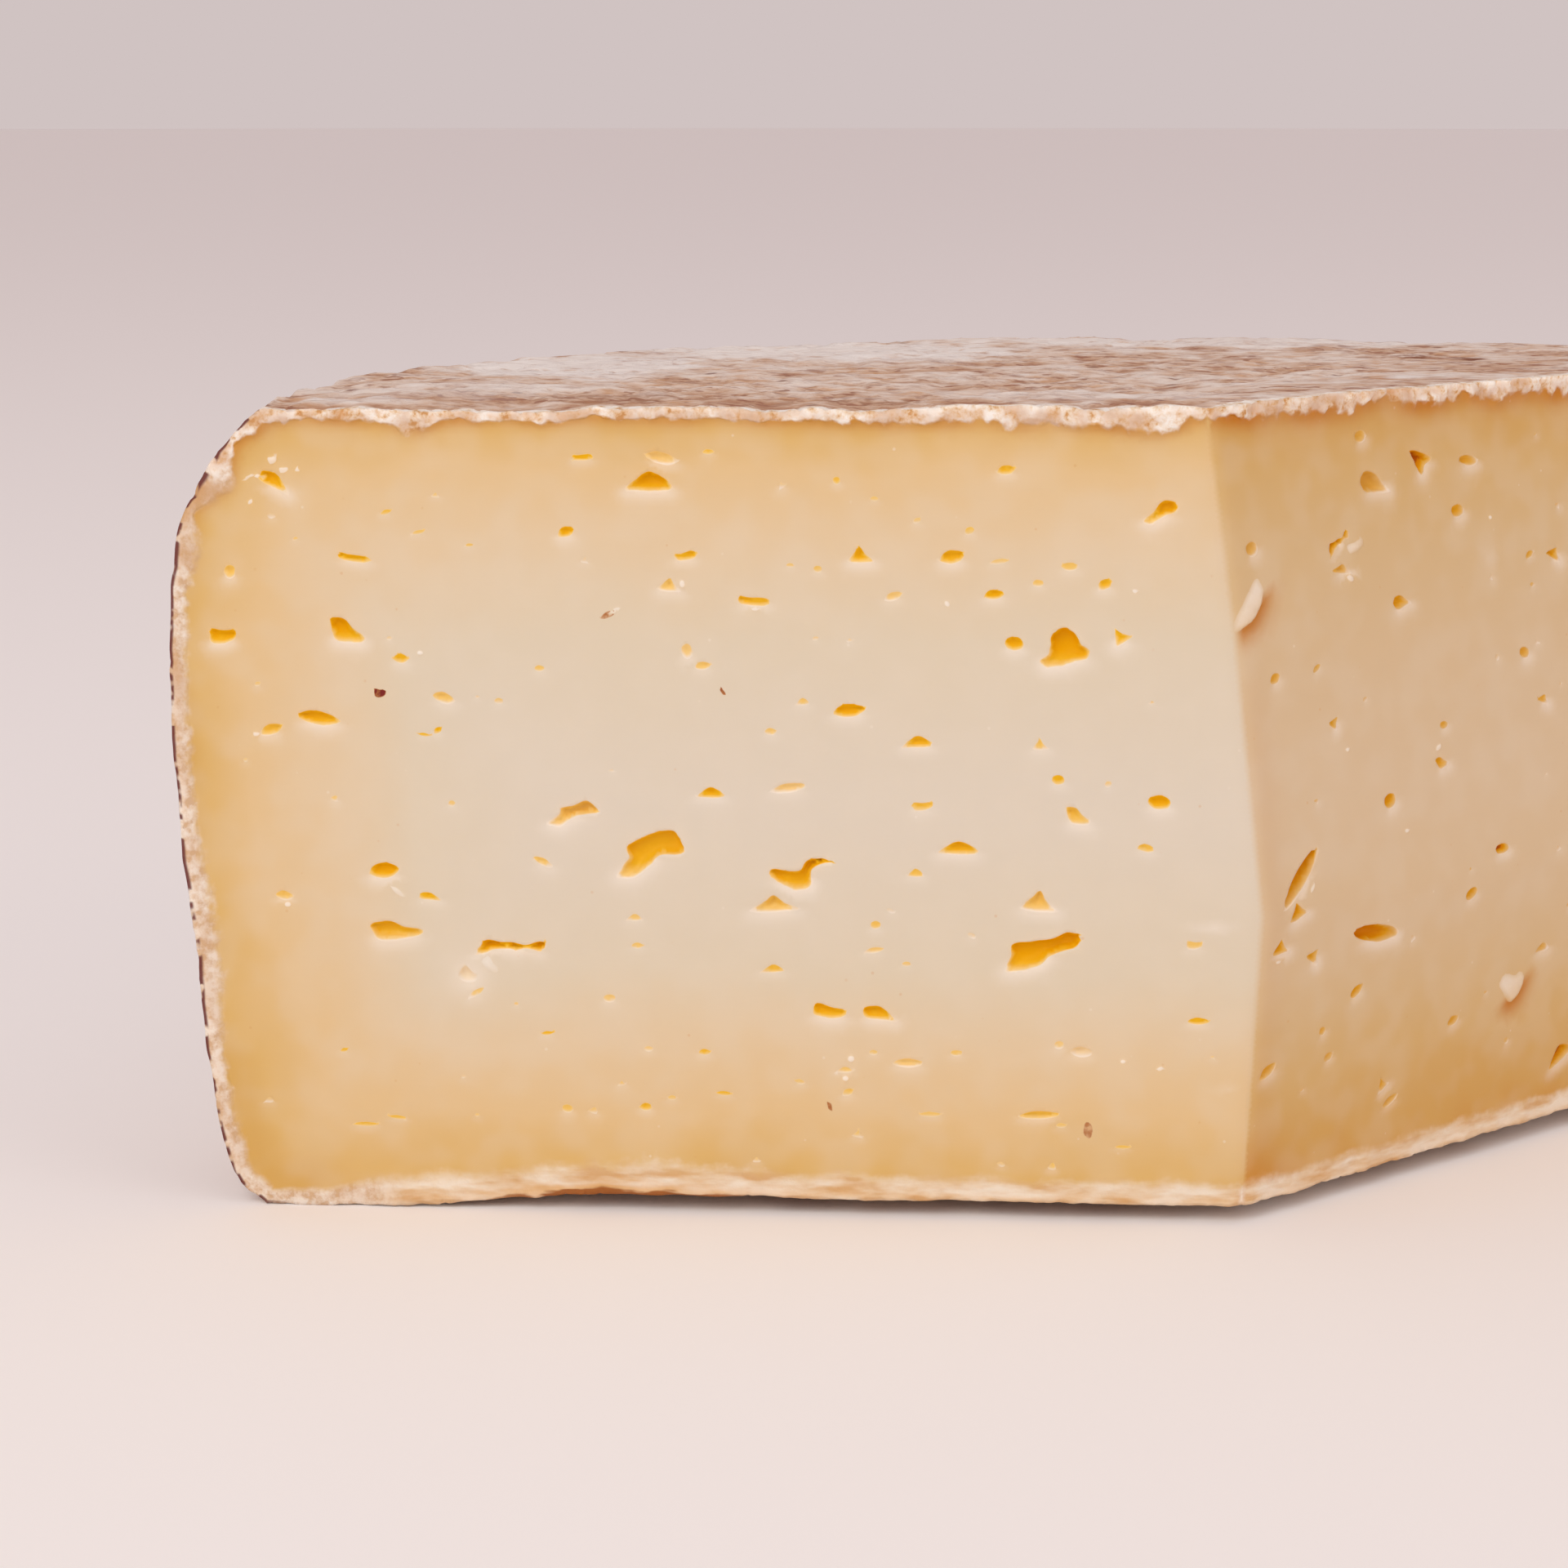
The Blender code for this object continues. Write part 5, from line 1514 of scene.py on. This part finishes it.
def paste_material():
    """The paste with its eyes, specks, flakes and smears, and the rind of the cuts."""
    n = Nodes("paste")
    eye, side = n.mark("eye"), n.mark("side")
    inward = n.mark("inward") + (n.noise(11 * MM) - 0.5) * PASTE_UNEVEN
    depth = n.math("DIVIDE", inward, PASTE_DEPTH, clamp=True)
    # The side cut takes the darker, warmer copy of the paste: painted shade and warm bounced light
    colour = n.mix(side, n.colours(depth, FRONT_PASTE), n.colours(depth, SHADED_SIDE_PASTE))
    # Clouds, dust and pores
    cloud = n.noise(4 * MM, 1.0)
    colour = n.mix(n.ramp(cloud, 0.35, 0.7, 0.0, 0.16), colour, CLOUD)
    dots = n.ramp(n.cells(2.4 * MM), 0.03, 0.08, 0.35, 0.0)
    colour = n.mix(dots * n.ramp(cloud, 0.48, 0.62), colour, DUST)
    colour = n.mix(dots * n.ramp(cloud, 0.5, 0.4), colour, PORES)
    # What is painted on the mesh: pale paste with painted highlight, white that is partly a painted
    # glint, and painted amber shade
    for name, over in (("halo", CREAM), ("white", WHITE), ("amber", AMBER_SHADE)):
        colour = n.mix(n.mark(name), colour, over)
    # Painted saffron glow in the eyes' hollows, with a darker copy and painted shade on the side cut
    hollow = n.mix(side, n.colours(eye, FRONT_HOLLOW_GLOW), n.colours(eye, SHADED_SIDE_HOLLOW_GLOW))
    colour = n.mix(n.ramp(eye, 0.0, 0.25), colour, hollow)
    speck = n.mark("speck") * n.ramp(n.noise(0.8 * MM, 3.0), 0.38, 0.6, 0.55, 1.1)
    colour = n.mix(n.ramp(speck, 0.0, 0.35), colour, n.colours(speck, RED_SPECK))
    rind, band, crumb = add_band(n)
    # The knife's drag in the paste, and the rubble of the rind
    drag = n.noise(1.0 * MM, 2.0, stretch=(0.25, 0.25, 2.2)) * 0.05
    rubble = crumb * n.ramp(n.mark("ledge"), 0.85, 1.1, 0.9, 0.0)
    n.shade({
        "Base Color": n.mix(band, colour, rind),
        "Roughness": band * 0.35 + n.ramp(cloud, 0.3, 0.7, 0.40, 0.5),
        "Subsurface Weight": n.ramp(eye, 0.2, 0.9, 0.5, 0.12),
        "Subsurface Radius": (1.0, 0.78, 0.52),
        "Subsurface Scale": 1.4 * MM,
        "Specular IOR Level": n.ramp(eye, 0.2, 0.9, 0.35, 0.06),
        "Normal": n.bump(drag + rubble, 0.8, 0.25 * MM),
    })
    n.shader.subsurface_method = "BURLEY"
    return n.material


def crust_material():
    """The crust, seen on the top and round the side."""
    n = Nodes("crust")
    deep, near, upright = n.mark("deep"), n.mark("near"), n.mark("upright")
    broad = n.noise(9 * MM, 4.0, rough=0.55, bend=0.5)
    fine = n.noise(1.6 * MM, 5.0, rough=0.58, bend=0.5, stretch=(0.7, 1.0, 1.0))
    relief = (n.mark("peak") - deep) * 0.06 - near * 0.07
    colour = n.colours(broad * 0.56 + fine * 0.44 + relief, CRUST_RAMP)
    ochre = n.ramp(n.noise(6 * MM, 3.0, bend=0.5), 0.54, 0.66)
    colour = n.mix(ochre * n.ramp(fine, 0.36, 0.56, 0.4, 0.1), colour, OCHRE)
    recess = deep + (fine - 0.5)
    colour = n.mix(n.ramp(recess, 0.35, 0.95, 0.0, 0.5), colour, RECESS)
    # Brown dabs, flecks and stains
    dabs = n.ramp(n.noise(0.9 * MM, 2.0, stretch=(0.42, 1.0, 1.0)), 0.55, 0.60)
    dabs = dabs * n.ramp(broad, 0.42, 0.56, 0.75, 0.25) * n.ramp(upright, 0.3, 0.9, 1.0, 0.45)
    colour = n.mix(dabs, colour, DABS)
    fleck = n.ramp(n.cells(4.6 * MM, stretch=(0.7, 1.0, 1.0)), 0.06, 0.13, 1.0, 0.0)
    colour = n.mix(fleck * 0.7, colour, FLECKS)
    colour = n.mix(n.mark("stain") * n.ramp(fine, 0.62, 0.4), colour, STAIN)
    # Grey bloom on the side, and white mould
    grey = n.ramp(n.noise(14 * MM, 3.0), 0.46, 0.62, 0.0, 0.55)
    colour = n.mix(grey * upright, colour, GREY_BLOOM)
    patch = n.ramp(n.noise(16 * MM, 5.0, rough=0.55), 0.54, 0.66, 0.0, 0.8)
    patch = n.math("MAXIMUM", patch, n.mark("mould"))
    patch = patch * n.ramp(fine, 0.3, 0.46, 0.4, 1.0) * n.ramp(near, 0.3, 0.9, 1.0, 0.4)
    colour = n.mix(patch * 0.8, colour, MOULD_WHITE)
    # Crumbs of the rind along the cuts
    curd, crumb = add_curd(n)
    brim = n.mark("brim") + (crumb - 0.5)
    n.shade({
        "Base Color": n.mix(n.ramp(brim, 0.5, 0.8, 0.0, 0.9), colour, curd),
        "Roughness": 0.85,
        "Specular IOR Level": 0.25,
        "Normal": n.bump(fine, 1.0, 0.6 * MM),
    })
    return n.material


# ---------------------------------------------------------------- pieces

# The highest places are eased under the solid's own height over this much
TOP_KNEE = 0.35 * MM
FRONT_SEED = 100
SIDE_SEED = 300


def clamp_into(place, low, high):
    """Keep a place inside the solid's box."""
    above = place.z - (high[2] - TOP_KNEE)
    if above > 0:
        place.z = high[2] - TOP_KNEE * math.exp(-above / TOP_KNEE)
    return Vector(min(max(v, a), b) for v, a, b in zip(place, low, high))


def close_gaps(data):
    """Fill the small gap that is left where charts meet, and turn all faces outward."""
    bm = bmesh.new()
    bm.from_mesh(data)
    rim = [e for e in bm.edges if e.is_boundary]
    if rim:
        patch = bmesh.ops.holes_fill(bm, edges=rim, sides=8)["faces"]
        bmesh.ops.triangulate(bm, faces=patch)
    bmesh.ops.recalc_face_normals(bm, faces=bm.faces)
    bm.to_mesh(data)
    bm.free()


def add_tomme(low, high):
    """The whole piece, kept inside the box from low to high."""
    mesh = Skin()
    add_cut(mesh, Cut(1, FRONT_EYES, FRONT_SPECKS, FRONT_FLAKES, FRONT_SEED))
    add_cut(mesh, Cut(0, SIDE_EYES, (), SIDE_FLAKES, SIDE_SEED))
    add_side(mesh)
    add_round_chart(mesh, RIM_RADIUS, BORDER_TOP, ARC_STEP_TOP, TOP_LEVELS, 0.68 * MM, 0.15)
    add_round_chart(mesh, FOOT_RADIUS, BORDER_UNDER, ARC_STEP_FOOT, UNDER_LEVELS, 2.4 * MM, 0.3)
    data = bpy.data.meshes.new("tomme")
    places = [clamp_into(p + AXIS, low, high) for p in mesh.places]
    data.from_pydata(places, [], mesh.faces)
    data.polygons.foreach_set("material_index", mesh.kinds)
    for name in MARKS:
        layer = data.attributes.new(name, "FLOAT", "POINT")
        layer.data.foreach_set("value", mesh.marks[name])
    close_gaps(data)
    data.shade_smooth()
    data.materials.append(paste_material())
    data.materials.append(crust_material())
    piece = bpy.data.objects.new("tomme", data)
    bpy.context.scene.collection.objects.link(piece)
    return piece


# ---------------------------------------------------------------- stage, light and camera

# Metres, and degrees for the camera's angles
FLOOR_RADIUS = 8.0
LIT_AT = (0.0, 0.0, 0.03)
LAMP_SIZE = 1.0
KEY_AT = (-0.45, -1.1, 0.95)
KEY_POWER = 7.6
KEY_COLOUR = (0.92, 1.0, 1.0)
FILL_AT = (1.1, -0.7, 0.6)
FILL_POWER = 2.0
FILL_COLOUR = (1.0, 0.82, 0.62)
CAMERA_AT = (-5.4 * MM, -365.2 * MM, 100.4 * MM)
CAMERA_DOWN = 10.806
CAMERA_LEFT = 3.93
SENSOR_WIDTH = 36.0
FOCAL_LENGTH = 84.375


def add_stage():
    """The floor, which is no part of the piece."""
    bpy.ops.mesh.primitive_circle_add(vertices=96, radius=FLOOR_RADIUS, fill_type="NGON")
    floor = bpy.context.object
    floor.name = "floor"
    n = Nodes("floor")
    n.shade({"Base Color": linear(*FLOOR_COLOUR), "Roughness": 0.9, "Specular IOR Level": 0.1})
    floor.data.materials.append(n.material)


def add_light(name, where, power, colour):
    """A round lamp that faces the piece."""
    light = bpy.data.lights.new(name, "AREA")
    light.shape = "DISK"
    light.size = LAMP_SIZE
    light.energy = power
    light.color = colour
    lamp = bpy.data.objects.new(name, light)
    bpy.context.scene.collection.objects.link(lamp)
    lamp.location = where
    lamp.rotation_euler = (Vector(LIT_AT) - Vector(where)).to_track_quat("-Z", "Y").to_euler()


def add_lights():
    """A large key lamp from the left front, a weak warm one from the right, and a grey room."""
    add_light("key", KEY_AT, KEY_POWER, KEY_COLOUR)
    add_light("fill", FILL_AT, FILL_POWER, FILL_COLOUR)
    world = bpy.data.worlds.new("studio")
    bpy.context.scene.world = world
    world.use_nodes = True
    back = world.node_tree.nodes["Background"]
    back.inputs["Color"].default_value = linear(*ROOM_COLOUR)
    back.inputs["Strength"].default_value = 1.0


def add_camera():
    """The photo's camera, as it was fitted to the board and the cheese."""
    data = bpy.data.cameras.new("camera")
    data.sensor_width = SENSOR_WIDTH
    data.lens = FOCAL_LENGTH
    data.clip_start = 0.01
    camera = bpy.data.objects.new("camera", data)
    bpy.context.scene.collection.objects.link(camera)
    camera.location = CAMERA_AT
    camera.rotation_euler = (math.radians(90.0 - CAMERA_DOWN), 0.0, math.radians(CAMERA_LEFT))
    bpy.context.scene.camera = camera


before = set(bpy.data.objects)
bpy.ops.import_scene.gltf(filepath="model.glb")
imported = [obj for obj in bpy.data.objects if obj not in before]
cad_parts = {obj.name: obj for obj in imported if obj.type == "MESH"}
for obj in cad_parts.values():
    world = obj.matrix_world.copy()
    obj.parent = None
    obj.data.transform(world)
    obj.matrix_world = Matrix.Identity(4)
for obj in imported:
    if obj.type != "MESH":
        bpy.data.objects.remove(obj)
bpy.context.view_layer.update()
scene = bpy.context.scene
scene.view_settings.view_transform = "Standard"

low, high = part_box("cheese")
tomme = add_tomme(low, high)
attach(tomme, "root")
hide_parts("cheese")

add_stage()
add_lights()
add_camera()
